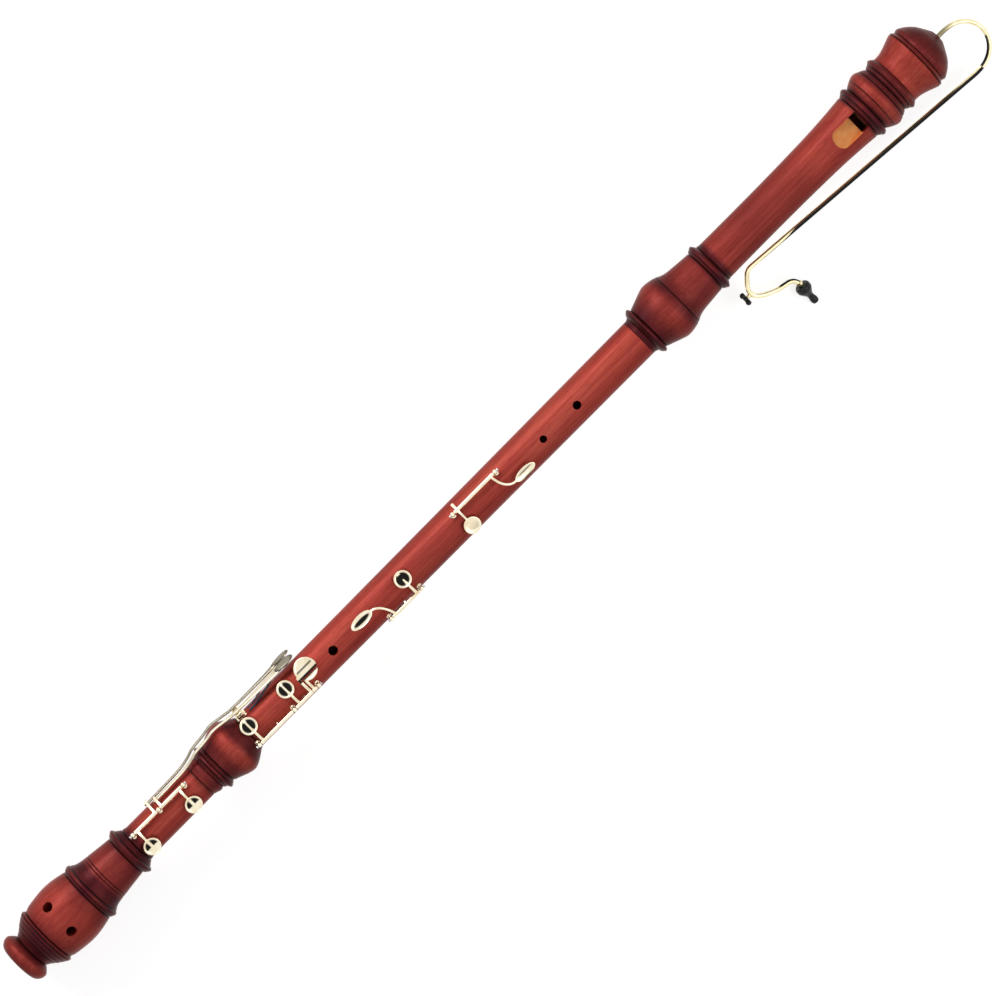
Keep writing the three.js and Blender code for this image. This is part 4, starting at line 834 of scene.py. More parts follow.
def shrunk(outline):
    """Inside sizes, drawn in by as much as the outside, so that they lie within the frame's facets."""
    return [(along, out * ROUND) for along, out in outline]


def drill(at, angle, radius):
    """Cutter for a round hole through a wall, with a rim that is rounded all the way round."""
    surface = wood_radius(at) * ROUND
    rings = [[(x, y, 0) for x, y in circle(radius, HOLE.sides)]]
    for depth, share in HOLE.rim_rows:
        rings.append([
            (x, y, math.sqrt(surface ** 2 - y ** 2) + depth * HOLE.lip)
            for x, y in circle(radius + share * HOLE.lip, HOLE.sides)
        ])
    rings.append([(x, y, surface + OVERRUN) for x, y, _ in rings[-1]])
    return turned_about(moved(loft(rings), at), angle)


def pad_seat(at, angle):
    """Cutters for the flat seat of a pad and the tone hole in it."""
    seat, radius = wood_radius(at) - KEY.seat_depth, KEY.cup_radius + KEY.seat_margin
    hole, lip = KEY.tone_hole_radius, KEY.tone_hole_lip
    flat = [(seat, 0), (seat, radius), (seat + OVERRUN, radius), (seat + OVERRUN, 0)]
    bore = [
        (0, 0), (0, hole), (seat - lip, hole), (seat, hole + lip), (seat + 1, hole + lip), (seat + 1, 0),
    ]
    return [stood(flat, TOUCH_SIDES, at, angle), stood(rounded(bore, EDGE.seat), HOLE.sides, at, angle)]


def post_seat(at, angle):
    """Cutter for the small flat under a post and the hole for its pin."""
    seat = wood_radius(at) * ROUND - KEY.post_seat_depth
    bottom, pin = seat - KEY.post_pin_length - FINE_GAP, KEY.post_pin_radius + FINE_GAP
    foot = KEY.post_foot_radius + RUNNING_GAP / 2
    return stood([
        (bottom, 0), (bottom, pin), (seat, pin), (seat, foot), (seat + OVERRUN, foot), (seat + OVERRUN, 0),
    ], TUBE_SIDES, at, angle)


def key_seats(size, start):
    """Cutters under the pads and the posts of a set of keys."""
    places = vars(size).items()
    cups = [start + at for name, at in places if name.endswith("cup_at")]
    posts = [start + at for name, at in places if name.endswith("post_at")]
    return [
        *(cutter for at in cups for cutter in pad_seat(at, size.cup_angle)),
        *(post_seat(at, size.hinge_angle) for at in posts),
    ]


def wooden(node, body, stretches, start, lines, inside, tones, cutters=(), raw=None):
    """Turned wooden piece with its holes. Its fine lines and its tones of painted highlight and shade,
    [along, darkness], count from its start, and raw(place, radius) says where a face shows unstained wood.
    Painted shade darkens its hollows, fine lines and inside."""
    lines = [(start + at, half, depth) for at, half, depth in lines]
    surface = profile(stretches, start, lines)
    outline = surface + shrunk(inside)
    mesh = cut(turned(rounded(outline + outline[:1], EDGE.wood), WOOD_SIDES), *cutters)
    mesh = piece(node, mesh, WOOD, body, WOOD_SHARP_ANGLE).data
    place = np.empty(3 * len(mesh.vertices), np.float32)
    mesh.vertices.foreach_get("co", place)
    place = place.reshape(-1, 3) * 1000 - np.array(ORIGIN)
    line = np.array(surface)
    spaced = np.arange(line[0, 0], line[-1, 0], PAINTED_SHADE.step)
    radii = np.interp(spaced, *line.T)
    padded = np.pad(radii, PAINTED_SHADE.reach, mode="edge")
    near = np.lib.stride_tricks.sliding_window_view(padded, 2 * PAINTED_SHADE.reach + 1)
    crest, trough = near.max(axis=1), near.min(axis=1)
    depth = (crest - radii) * np.clip((crest - trough) / PAINTED_SHADE.turning_height, 0, 1)
    # Painted shade: darker in the hollows of the turning and at its fine lines; inside the wood, groove and
    # tone take set levels of painted shade
    groove = np.interp(place[:, 0], spaced, PAINTED_SHADE.hollow_share * np.clip(depth / PAINTED_SHADE.hollow_depth, 0, 1))
    for at, half, _ in lines:
        groove = np.maximum(groove, np.clip(PAINTED_SHADE.line_spread - np.abs(place[:, 0] - at) / half, 0, 1))
    # Painted highlight and shade along the piece, from its list of tones
    tone = np.interp(place[:, 0] - start, *np.array(tones).T)
    under = np.hypot(place[:, 1], place[:, 2]) < np.interp(place[:, 0], spaced, radii) - PAINTED_SHADE.skin
    for name, values in (
        ("groove", np.where(under, PAINTED_SHADE.inside_groove, groove)),
        ("tone", np.where(under, PAINTED_SHADE.inside_tone, tone)),
    ):
        mesh.attributes.new(name, "FLOAT", "POINT").data.foreach_set("value", values.astype(np.float32))
    if raw:
        mesh.materials.append(RAW_WOOD)
        for face in mesh.polygons:
            centre = Vector(face.center) * 1000 - ORIGIN
            face.material_index = int(raw(centre, np.interp(centre.x, *line.T)))


def foot_joint():
    vent_at = FOOT[0][0] + FOOT[1][0] + VENTS.at
    vents = [
        drill(vent_at, VENTS.centre_angle + side * VENTS.half_spread_angle, VENTS.radius)
        for side in (-1, 1)
    ]
    wooden("foot_joint", "body", FOOT, 0, FOOT_LINES, [
        *tenon(FOOT_LENGTH, FOOT_TENON), (FOOT_LENGTH + FOOT_TENON.length, LOW_BORE_RADIUS),
        (FOOT_MOUTH_LENGTH, FOOT_BORE_RADIUS), (0, FOOT_MOUTH_RADIUS),
    ], [
        # Tones of painted highlight and shade along the foot
        (0, 0.4), (10, 0.35), (17, 0.8), (36, 0.8), (41, 0.45), (55, 0.15), (74, 0.2), (88, 0.5),
        (92, 0.85), (110, 0.95), (114, 0.5), (130, 0.55), (142, 0.7), (146, 0.9), (160, 0.9), (167, 0.4),
        (178, 0.15), (236, 0.2), (245, 0.6), (254, 0.85),
    ], vents + key_seats(FOOT_KEYS, FOOT_TUBE_START))


def middle_joint():
    socket_end, socket = MIDDLE_START + FOOT_TENON.length + 2 * SEAT_GAP, FOOT_TENON.radius + SEAT_GAP
    cutters = [drill(on_middle_tube(share), angle, radius) for share, angle, radius in FINGER_HOLES]
    for size in (RING_KEY, INDEX_KEY, DOUBLE_KEY):
        cutters += key_seats(size, on_middle_tube(size.start_share))
    wooden("middle_joint", "body", MIDDLE, MIDDLE_START, MIDDLE_LINES, [
        *tenon(MIDDLE_END, MIDDLE_TENON), (MIDDLE_END + MIDDLE_TENON.length, HIGH_BORE_RADIUS),
        (socket_end, LOW_BORE_RADIUS), (socket_end, socket), (MIDDLE_START, socket),
    ], [
        # Tones of painted highlight and shade along the middle joint
        (0, 0.85), (10.6, 0.85), (20.6, 0.7), (27.6, 0.2), (34.6, 0.2), (41.6, 0.85), (51.6, 0.75),
        (58.6, 0.15), (143.6, 0), (253.6, 0.2), (373.6, 0.15), (573.2, 0.05),
    ], cutters)


def ramp_cutter(edge_at, end_at, half, top):
    """Cutter for the ramp: straight sides and a round lower end, with a floor that rises from the edge."""
    slope = (WINDOW_CUT.end_radius - WINDOW_CUT.edge_radius) / (edge_at - end_at)
    turn_at = end_at + WINDOW_CUT.round_share * (edge_at - end_at)
    plan = [(edge_at, -half), (edge_at, half)]
    for step in range(BEND_STEPS + 1):
        turn = math.pi * step / BEND_STEPS
        plan.append((turn_at - (turn_at - end_at) * math.sin(turn), half * math.cos(turn)))
    floor_line = [(x, y, WINDOW_CUT.edge_radius + slope * (edge_at - x)) for x, y in plan]
    return loft([floor_line, [(x, y, top + OVERRUN) for x, y in plan]])


def head_joint():
    socket_end, socket = HEAD_START + MIDDLE_TENON.length + 2 * SEAT_GAP, MIDDLE_TENON.radius + SEAT_GAP
    end = HEAD_END + CAP_TENON.length
    window_start = WINDOW_END - WINDOW_CUT.length
    ramp_start = window_start - WINDOW_CUT.ramp_length
    top, half, middle = HEAD[4][1], WINDOW_CUT.width / 2, window_start + WINDOW_CUT.length / 2
    ramp = ramp_cutter(window_start + SEAT_GAP, ramp_start - WINDOW_CUT.ramp_extra, half, top)
    opening = cross_box(middle, WINDOW_CUT.length, (-half, half), (0, top + OVERRUN))
    length = end + OVERRUN - WINDOW_END + SEAT_GAP
    slot = band(
        -WINDWAY.half_angle, WINDWAY.half_angle, HEAD_BORE_RADIUS * ROUND - 2 * FINE_GAP,
        WINDWAY.height + SEAT_GAP, WINDOW_END - SEAT_GAP + length / 2, length, WINDWAY.corner, tip=False,
    )

    def is_raw(place, radius):
        inside = math.hypot(place.y, place.z) < radius - 0.06
        in_cut = ramp_start - 6 < place.x < window_start + 2 * SEAT_GAP and abs(place.y) < half + 0.05
        return in_cut and inside and place.z > WINDOW_CUT.edge_radius - 1

    wooden("head_joint", "head", HEAD, HEAD_START, HEAD_LINES, [
        *tenon(HEAD_END, CAP_TENON), (end, HEAD_BORE_RADIUS), (socket_end, HEAD_BORE_RADIUS),
        (socket_end, socket), (HEAD_START, socket),
    ], [
        # Tones of painted highlight and shade along the head
        (0, 0.9), (14, 0.85), (24, 0.6), (31, 0.3), (40, 0.35), (48, 0.85), (60, 0.55), (84, 0.5),
        (89, 0.95), (102, 0.95), (107, 0.3), (125, 0.35), (150, 0.45), (205, 0.35), (235, 0.1), (288.3, 0.2),
        (292.3, 0.9), (303.3, 0.95), (308.3, 0.35), (316.3, 0.15), (322.3, 0.7), (328.3, 0.85), (340.7, 0.7),
    ], [ramp, opening, slot], is_raw)


def cap():
    socket_end, socket = CAP_START + CAP_TENON.length + 2 * SEAT_GAP, CAP_TENON.radius + SEAT_GAP
    hole = CROOK.radius + 2 * SEAT_GAP + CROOK_CORK.wall
    wall = CAP_END - CAP_WALL_LENGTH
    # The cap's tones, in the last list, are painted highlight and shade along it
    wooden("cap", "head", CAP, CAP_START, CAP_LINES, [
        (CAP_END, hole), (wall, hole), (wall, CAP_CHAMBER_RADIUS), (socket_end, CAP_CHAMBER_RADIUS),
        (socket_end, socket), (CAP_START, socket),
    ], [(0, 0.3), (5, 0), (25, 0.1), (29, 0.5), (34, 0.7), (57.5, 0.85)])


def block():
    end, radius = HEAD_END + CAP_TENON.length, HEAD_BORE_RADIUS * ROUND - FINE_GAP
    outline = [
        (WINDOW_END, 0), (WINDOW_END, radius), (end - BLOCK_CHAMFER, radius),
        (end, radius - BLOCK_CHAMFER), (end, 0),
    ]
    piece("block", turned(rounded(outline, EDGE.block), WOOD_SIDES), CEDAR, "head")


def tenon_cork(node, shoulder, size, body):
    start, end = (shoulder + share * size.length for share in size.cork_shares)
    start, end = start + SEAT_GAP, end - SEAT_GAP
    inside, outside = size.radius - CORK_DEPTH + SEAT_GAP, size.radius
    outline = shrunk([(start, inside), (start, outside), (end, outside), (end, inside), (start, inside)])
    piece(node, turned(rounded(outline, EDGE.tenon_cork), WOOD_SIDES), CORK, body)


# Key work
def hinge_line(start, end, angle):
    radius = wood_radius((start + end) / 2) + KEY.axis_height
    return SimpleNamespace(start=start, end=end, angle=angle, radius=radius, place=around(angle, radius))


def on_hinge(shape, line):
    return moved(shape, 0, *line.place)


def hinge_tube(start, end, line):
    return on_hinge(bar(start, end, KEY.tube_radius, EDGE.tube, TUBE_SIDES), line)


def hinge_post(node, at, line):
    """Post with a turned foot, a waisted stem and a round head, drilled for the rod."""
    seat = wood_radius(at) * ROUND - KEY.post_seat_depth + FINE_GAP / 2
    ball, stem = KEY.post_ball_radius, KEY.post_stem_radius
    pin, foot = KEY.post_pin_radius, KEY.post_foot_radius
    bottom, foot_top = seat - KEY.post_pin_length, seat + KEY.post_foot_height
    outline = rounded([
        (bottom, 0), (bottom, pin), (seat, pin), (seat, foot), (foot_top, foot),
        (foot_top + KEY.post_neck_rise, stem + KEY.post_neck_flare),
    ], EDGE.post)
    outline.append(((foot_top + line.radius - ball) / 2 + 0.3, stem * KEY.post_waist_share))
    start = math.asin(stem / ball)
    for step in range(BALL_STEPS):
        turn = start + (math.pi - start) * step / BALL_STEPS
        outline.append((line.radius - ball * math.cos(turn), ball * math.sin(turn)))
    outline.append((line.radius + ball, 0))
    hole = moved(bar(-OVERRUN, OVERRUN, KEY.rod_radius + FINE_GAP), at, 0, line.radius)
    mesh = cut(stood(outline, TUBE_SIDES, at, line.angle), turned_about(hole, line.angle))
    piece(node, mesh, BRASS, "body")


def hinge_rod(node, line, body="body"):
    """Rod with a slotted screw head outside each end post."""
    start = line.start - KEY.post_ball_radius - RUNNING_GAP / 2
    end = line.end + KEY.post_ball_radius + RUNNING_GAP / 2
    head, radius = KEY.rod_head_length, KEY.rod_head_radius
    outline = [
        (start - head, 0), (start - head, radius), (start, radius), (start, KEY.rod_radius),
        (end, KEY.rod_radius), (end, radius), (end + head, radius), (end + head, 0),
    ]
    half = KEY.screw_slot_width / 2
    slots = [
        cross_box(at, 2 * KEY.screw_slot_depth, (-half, half), (-radius - 0.5, radius + 0.5))
        for at in (start - head, end + head)
    ]
    mesh = cut(turned(rounded(outline, EDGE.rod), TUBE_SIDES), *slots)
    mesh.transform(Matrix.Translation((0, *line.place)))
    piece(node, mesh, STEEL, body)


def cup_base(at):
    return wood_radius(at) - KEY.seat_depth + KEY.pad_thickness + 2 * SEAT_GAP


def key_cup(at, angle):
    """Shallow cup with a soft rim round a dished face."""
    base, radius = cup_base(at), KEY.cup_radius
    top, rim = base + KEY.cup_height, radius - KEY.cup_rim_width
    dish = spline([
        (top - 0.1, rim), (top - KEY.cup_dish * 0.8, rim - 0.7), (top - KEY.cup_dish * 1.25, rim * 0.62),
        (top - KEY.cup_dish * 1.4, rim * 0.2), (top - KEY.cup_dish * 1.4, 0),
    ], DISH_STEP)
    outline = rounded([(base, 0), (base, radius), (top, radius), (top, rim + 0.1), *dish], EDGE.cup)
    outline[-1] = (outline[-1][0], 0)
    return stood(outline, CUP_SIDES, at, angle)


def opened_pad(node, line, turn, at, cup_angle, body):
    """Pad with a shallow ring pressed into it, opened with its key."""
    base = wood_radius(at) - KEY.seat_depth + SEAT_GAP
    top, hole = base + KEY.pad_thickness, KEY.tone_hole_radius
    outline = rounded([
        (base + 0.35, 0), (base + 0.35, hole - 0.3), (base, hole + 0.6), (base, KEY.pad_radius),
        (top, KEY.pad_radius), (top, 0),
    ], EDGE.pad)
    piece(node, turned_about(stood(outline, CUP_SIDES, at, cup_angle), turn, *line.place), PAD, body)


def arm_radius(at):
    return wood_radius(at) + KEY.axis_height - KEY.arm_drop - KEY.arm_thickness / 2


def key_arm(at, start, end, widths=ARM_WIDTHS):
    return band(start, end, arm_radius(at), KEY.arm_thickness, at, KEY.arm_width, EDGE.arm, widths)


def plate(half_length, half_width, base):
    """Dished plate of a touch."""
    top = base + KEY.touch_thickness
    rim = (half_length - KEY.cup_rim_width) / half_length
    dish = spline([
        (top, 0.93 * half_width), (top - 0.12, 0.88 * half_width), (top - 0.5, rim * 0.86 * half_width),
        (top - KEY.touch_dish, 0.5 * half_width), (top - KEY.touch_dish - 0.12, 0.1 * half_width),
    ], PLATE_STEP)
    rows = [
        (base, 0.86), (base + 0.25, 0.95), (base + 0.7, 1), (top - 0.35, 1), (top - 0.1, 0.975),
        (top, 0.93), *((up, out / half_width) for up, out in dish[1:]),
    ]
    rings = [
        [(x * share * half_length, y * share * half_width, up) for x, y in circle(1, TOUCH_SIDES)]
        for up, share in rows
    ]
    return loft(rings, poles=((0, 0, base), (0, 0, rows[-1][0] - 0.02)))


def touch_arm(start, end, line, end_angle):
    """Round arm that leaves a hinge tube square and bends along the body into a touch plate."""
    end_radius = wood_radius(end) + KEY.touch_clearance + KEY.touch_thickness / 2
    points, scales = [], []
    for step in range(ARM_STEPS + 1):
        share = step / ARM_STEPS
        turn = share * math.pi / 2
        at = start + (end - start) * (1 - math.cos(turn))
        angle = line.angle + (end_angle - line.angle) * math.sin(turn)
        points.append((at, *around(angle, line.radius + (end_radius - line.radius) * share)))
        scales.append((1.22 - 0.3 * share,) * 2)
    return swept(points, circle(KEY.touch_arm_radius), scales=scales)


def spring_catch(at, line):
    side = math.copysign(1, line.angle)
    near = side * (KEY.spring_radius + SEAT_GAP)
    edges = (near, near + side * KEY.catch_width)
    shape = cross_box(at, KEY.catch_width, edges, (KEY.spring_height - KEY.axis_height, 0))
    return on_hinge(turned_about(shape, line.angle), line)


def needle_spring(node, post_at, catch_at, line):
    start, end = post_at + KEY.post_stem_radius, catch_at + KEY.catch_width
    height = line.radius - KEY.axis_height + KEY.spring_height
    outline = [
        (start, 0), (start, KEY.spring_radius), (end - 3, KEY.spring_radius * 0.9),
        (end - 0.3, KEY.spring_radius * 0.5), (end, 0),
    ]
    shape = moved(turned(outline, NEEDLE_SIDES), 0, *around(line.angle, height))
    piece(node, shape, BLUED_STEEL, "body")


def opening_angle(size, line):
    arm = 2 * line.radius * math.sin(math.radians(abs(size.hinge_angle - size.cup_angle)) / 2)
    return math.copysign(math.degrees(math.asin(size.lift / arm)), size.hinge_angle - size.cup_angle)


def tube_span(start, end):
    clear = KEY.post_ball_radius + RUNNING_GAP
    return start + clear, end - clear


# Painted reflections and painted shade on the keys: dark marks in the dished faces of cups and touches.
# Their outlines
# are millimetres on a cup or touch: along the body, across towards the hinge, and out from the middle
def local(points, at, angle):
    """Places on a cup or touch, as along, across and up."""
    sin, cos = math.sin(math.radians(angle)), math.cos(math.radians(angle))
    y, z = points[..., 1], points[..., 2]
    return points[..., 0] - at, -cos * y - sin * z, cos * z - sin * y


def rise_to(value, start, end):
    """Level that runs from 0 to 1 while a value runs from start to end."""
    return np.clip((value - start) / (end - start), 0, 1)


def dark_dish(at, angle, dark):
    """Painted reflection on the dished face of a cup; dark(along, across, out) gives its darkness at a
    place.
    """
    top = cup_base(at) + KEY.cup_height

    def darkness(corners, centres, normals):
        along, across, up = local(centres, at, angle)
        facing = local(normals, 0, angle)[2]
        in_rim = (np.hypot(along, across) < KEY.cup_radius) & (facing > UPPER_SIDE)
        on_dish = in_rim & (up < top + 0.02) & (up > top - 2)
        on_arm = (np.abs(along) < KEY.arm_width * 0.66) & (up > top - KEY.cup_dish * 1.2)
        along, across, _ = local(corners, at, angle)
        return np.where(on_dish & ~on_arm, dark(along, across, np.hypot(along, across)), 0)
    return darkness


def dark_plate(at, angle, base, dark):
    """Painted reflection and painted shadow on the upper face of a touch; dark(along, across) gives its
    darkness at a place.
    """
    def darkness(corners, centres, normals):
        along, _, up = local(centres, at, angle)
        facing = local(normals, 0, angle)[2]
        on_face = (facing > UPPER_SIDE) & (up > base + 0.5) & (up < base + 3) & (np.abs(along) < 14)
        return np.where(on_face, dark(*local(corners, at, angle)[:2]), 0)
    return darkness


# Painted reflection: dark middle of a cup inside a bright rim
def round_dark(along, across, out):
    return rise_to(out, 6.9, 6)


# Painted reflection: two dark patches on the far half of a foot key's cup
def paired_dark(along, across, out):
    return rise_to(across, 0.6, -0.4) * rise_to(np.abs(along), 1.2, 1.8) * rise_to(out, 7, 6.2)


# Painted reflection: faint darkening in the middle of the ring key's cup, stronger towards the hinge
def faint_dark(along, across, out):
    return 0.25 * rise_to(out, 6.8, 5) * rise_to(across, -2, 5)


# Painted reflection: a dark slit along the middle of the index key's touch
def slit_dark(along, across):
    return rise_to(np.hypot(along / 9.6, (across - 0.3) / 2.3), 1.1, 0.85)


# Painted reflection: a dark streak along the ring key's touch and a dark edge on its hinge side
def streak_dark(along, across):
    streak = 0.55 * rise_to(np.hypot((along - 1) / 9, (across + 1.6) / 1.1), 1.2, 0.7)
    return np.maximum(streak, 0.9 * rise_to(across, 3.3, 4.2))


# Painted shadow beside the gap of the double key's split, and a thin dark line of painted reflection on the
# touch
def split_dark(along, across):
    line = 0.75 * rise_to(np.abs(across + 2.2), 1.2, 0.6) * rise_to(np.abs(along), 9.5, 8.5)
    return np.maximum(line, rise_to(np.abs(across - 5), 2.3, 1.7))


def shaded(mesh, marks):
    """Mesh with the darkness of its painted reflections and painted shade stored at the corners of its
    faces.
    """
    spots = [
        (mesh.vertices[index].co, face.center, face.normal)
        for face in mesh.polygons for index in face.vertices
    ]
    spots = np.array(spots, float).transpose(1, 0, 2)
    values = np.max([mark(*spots) for mark in marks], axis=0).astype(np.float32)
    mesh.attributes.new("painted_shade_and_reflection", "FLOAT", "CORNER").data.foreach_set("value", values)
    return mesh


def opened(node, line, angle, parts, body, marks):
    """Key cast in one piece, bored for its rod and opened about its hinge line."""
    bore = on_hinge(bar(line.start, line.end, KEY.rod_radius + FINE_GAP), line)
    mesh = shaded(cut(join(*parts), bore), marks)
    hinge = Matrix.Translation((0, *line.place))
    mesh.transform(hinge @ about_x(angle) @ hinge.inverted())
    piece(node, mesh, BRASS, body)


def finger_key(node, size, cup_dark, touch_dark):
    low, high, cup_at, arm_at, touch_at = (
        on_middle_tube(size.start_share) + at
        for at in (size.low_post_at, size.high_post_at, size.cup_at, size.touch_arm_at, size.touch_at)
    )
    line = hinge_line(low, high, size.hinge_angle)
    angle = opening_angle(size, line)
    near_end = touch_at + math.copysign(size.touch_half_length - KEY.cup_rim_width, arm_at - touch_at)
    catch_at = (cup_at + arm_at) / 2
    base = wood_radius(touch_at) + KEY.touch_clearance
    leaf = plate(size.touch_half_length, size.touch_half_width, base)
    opened(node, line, angle, [
        hinge_tube(*tube_span(low, high), line),
        key_cup(cup_at, size.cup_angle),
        key_arm(cup_at, size.tail_angle, size.arm_end_angle),
        turned_about(moved(leaf, touch_at), size.cup_angle),
        touch_arm(arm_at, near_end, line, size.cup_angle),
        spring_catch(catch_at, line),
    ], node, [
        dark_dish(cup_at, size.cup_angle, cup_dark), dark_plate(touch_at, size.cup_angle, base, touch_dark),
    ])
    opened_pad(node + "_pad", line, angle, cup_at, size.cup_angle, node)
    hinge_rod(node + "_rod", line)
    hinge_post(node + "_low_post", low, line)
    hinge_post(node + "_high_post", high, line)
    needle_spring(node + "_spring", low, catch_at, line)


def split_plate(at, base, side):
    """The part of the double key's round touch on one side of its split; -1 is the hinge's side."""
    size = DOUBLE_KEY
    edges = (-size.split_offset + side * size.split_gap / 2, side * (size.touch_radius + OVERRUN))
    keep = cross_box(0, 4 * size.touch_radius, edges, (0, base + OVERRUN))
    mesh = combined(plate(size.touch_radius, size.touch_radius, base), [keep], "INTERSECT")
    mesh.transform(about_x(size.cup_angle) @ Matrix.Translation((at, 0, 0)))
    return mesh


def double_key():
    size = DOUBLE_KEY
    start, hinge_angle, cup_angle = on_middle_tube(size.start_share), size.hinge_angle, size.cup_angle
    low, middle, high = start + size.low_post_at, start + size.middle_post_at, start + size.high_post_at
    far_cup, near_cup = start + size.far_cup_at, start + size.near_cup_at
    near_arm, far_arm, touch_at = start + size.near_arm_at, start + size.far_arm_at, start + size.touch_at
    line = hinge_line(low, high, hinge_angle)
    angle = opening_angle(size, line)
    near_start, collar_end = tube_span(middle, high)
    near_end = near_arm + KEY.arm_width / 2
    far_catch, near_catch = (far_cup + middle) / 2, (near_cup + near_arm) / 2
    base = arm_radius(touch_at) - KEY.touch_thickness / 2
    split = dark_plate(touch_at, cup_angle, base, split_dark)
    opened("double_key_far", line, angle, [
        hinge_tube(*tube_span(low, middle), line),
        key_cup(far_cup, cup_angle),
        key_arm(far_cup, hinge_angle, size.arm_end_angle),
        spring_catch(far_catch, line),
    ], "double_key_far", [dark_dish(far_cup, cup_angle, round_dark)])
    opened("double_key_near", line, angle, [
        hinge_tube(near_start, near_end, line),
        key_cup(near_cup, cup_angle),
        key_arm(near_cup, hinge_angle, size.arm_end_angle),
        key_arm(near_arm, hinge_angle, cup_angle, TOUCH_ARM_WIDTHS),
        split_plate(touch_at, base, 1),
        spring_catch(near_catch, line),
    ], "double_key_near", [dark_dish(near_cup, cup_angle, round_dark), split])
    opened("double_key_far_touch", line, angle, [
        hinge_tube(near_end + 2 * RUNNING_GAP, collar_end, line),
        key_arm(far_arm, hinge_angle, size.far_touch_angle, TOUCH_ARM_WIDTHS),
        split_plate(touch_at, base, -1),
    ], "double_key_far", [split])
    hinge_rod("double_key_rod", line, "double_key_far")
    for name, cup_at in (("double_key_far", far_cup), ("double_key_near", near_cup)):
        opened_pad(name + "_pad", line, angle, cup_at, cup_angle, name)
    for name, at in (("low", low), ("middle", middle), ("high", high)):
        hinge_post(f"double_key_{name}_post", at, line)
    needle_spring("double_key_far_spring", low, far_catch, line)
    needle_spring("double_key_near_spring", middle, near_catch, line)


def lever_tip_radius():
    surface = wood_radius(FOOT_TUBE_START + FOOT_KEYS.high_lug_at)
    return surface + LEVER.foot_clearance + LEVER.bar_thickness / 2


def foot_lug(at, lever_angle, line, angle):
    inner = lever_tip_radius() + LEVER.bar_thickness / 2 + LEVER.lug_gap
    end = lever_angle - FOOT_KEYS.lug_margin_angle
    lug = band(
        FOOT_KEYS.hinge_angle, end, inner, KEY.arm_thickness, at, KEY.arm_width, EDGE.lug, LUG_WIDTHS,
    )
    return turned_about(lug, -angle, *line.place)


def foot_keys():
    size, start = FOOT_KEYS, FOOT_TUBE_START
    low, middle, high = start + size.low_post_at, start + size.middle_post_at, start + size.high_post_at
    line = hinge_line(low, high, size.hinge_angle)
    angle = opening_angle(size, line)
    for name, span, cup_at, lug_at, lever_angle in (
        ("foot_key_low", (low, middle), size.low_cup_at, size.low_lug_at, OUTER_LEVER_ANGLE),
        ("foot_key_high", (middle, high), size.high_cup_at, size.high_lug_at, INNER_LEVER_ANGLE),
    ):
        cup_at, lug_at = start + cup_at, start + lug_at
        catch_at = (cup_at + lug_at) / 2
        opened(name, line, angle, [
            hinge_tube(*tube_span(*span), line),
            key_cup(cup_at, size.cup_angle),
            key_arm(cup_at, size.hinge_angle, size.cup_angle),
            foot_lug(lug_at, lever_angle, line, angle),
            spring_catch(catch_at, line),
        ], name, [dark_dish(cup_at, size.cup_angle, paired_dark)])
        opened_pad(name + "_pad", line, angle, cup_at, size.cup_angle, name)
        needle_spring(name + "_spring", span[0], catch_at, line)
    hinge_rod("foot_key_rod", line)
    for name, at in (("low", low), ("middle", middle), ("high", high)):
        hinge_post(f"foot_key_{name}_post", at, line)


# Levers of the little finger
def lever_line(tip_at, pivot_at):
    half = LEVER.bar_thickness / 2
    tip = lever_tip_radius()
    rim_length, bulb_length, ring_length = MIDDLE[0][0], MIDDLE[1][0], FOOT[-1][0]
    bulb_start = MIDDLE_START + rim_length
    over_rim = MIDDLE[0][1] + LEVER.bulb_clearance + half
    over_bulb = MIDDLE[1][1] + LEVER.bulb_clearance + half
    over_tube = wood_radius(pivot_at) + LEVER.bar_rise
    rise = over_tube + LEVER.touch_rise
    touch_at = pivot_at + LEVER.touch_from_pivot
    return [
        (tip_at, tip),
        (FOOT_LENGTH - ring_length - rim_length, tip + half),
        (FOOT_LENGTH - LEVER.ring_share * ring_length, (tip + over_rim) / 2),
        (MIDDLE_START + LEVER.rim_share * rim_length, over_rim),
        (bulb_start + LEVER.bulb_rise_share * bulb_length, (over_rim + over_bulb) / 2),
        (bulb_start + LEVER.bulb_crest_share * bulb_length, over_bulb),
        (bulb_start + LEVER.bulb_fall_share * bulb_length, (over_tube + over_bulb) / 2),
        (pivot_at, over_tube),
        (touch_at - 2 * LEVER.touch_half_length, over_tube),
        (touch_at, rise),
        (touch_at + LEVER.touch_end_share * LEVER.touch_half_length, rise),
    ]


def in_plane(points):
    return [(x, 0, z) for x, z in points]


def cross_bar(at, height, radius, length):
    """Round bar across the body, at a place along and a height."""
    points, faces = bar(-length / 2, length / 2, radius, sides=TUBE_SIDES)
    return outward(points[:, [1, 0, 2]] + np.array((at, 0, height)), faces)


def dark_lever(side, touch_at):
    """Painted reflection and painted shade on a lever: the edge of the outer lever's bar, and the outline
    and middle of the touch.
    """
    edge = 1 if side > 0 else 0

    def darkness(corners, *_):
        along, across = corners[:, 0] - touch_at, -side * corners[:, 1]
        from_middle = (across + LEVER.touch_offset) / LEVER.touch_half_width
        out = np.hypot(along / LEVER.touch_half_length, from_middle)
        touch = np.where(out < 1.02, 0.6 + 0.4 * rise_to(out, 0.7, 0.95), 0)
        on_bar = edge * (0.35 + 0.6 * rise_to(-across, 0.2, 0.9)) * (along < -LEVER.touch_half_length)
        return np.maximum(touch, on_bar)
    return darkness


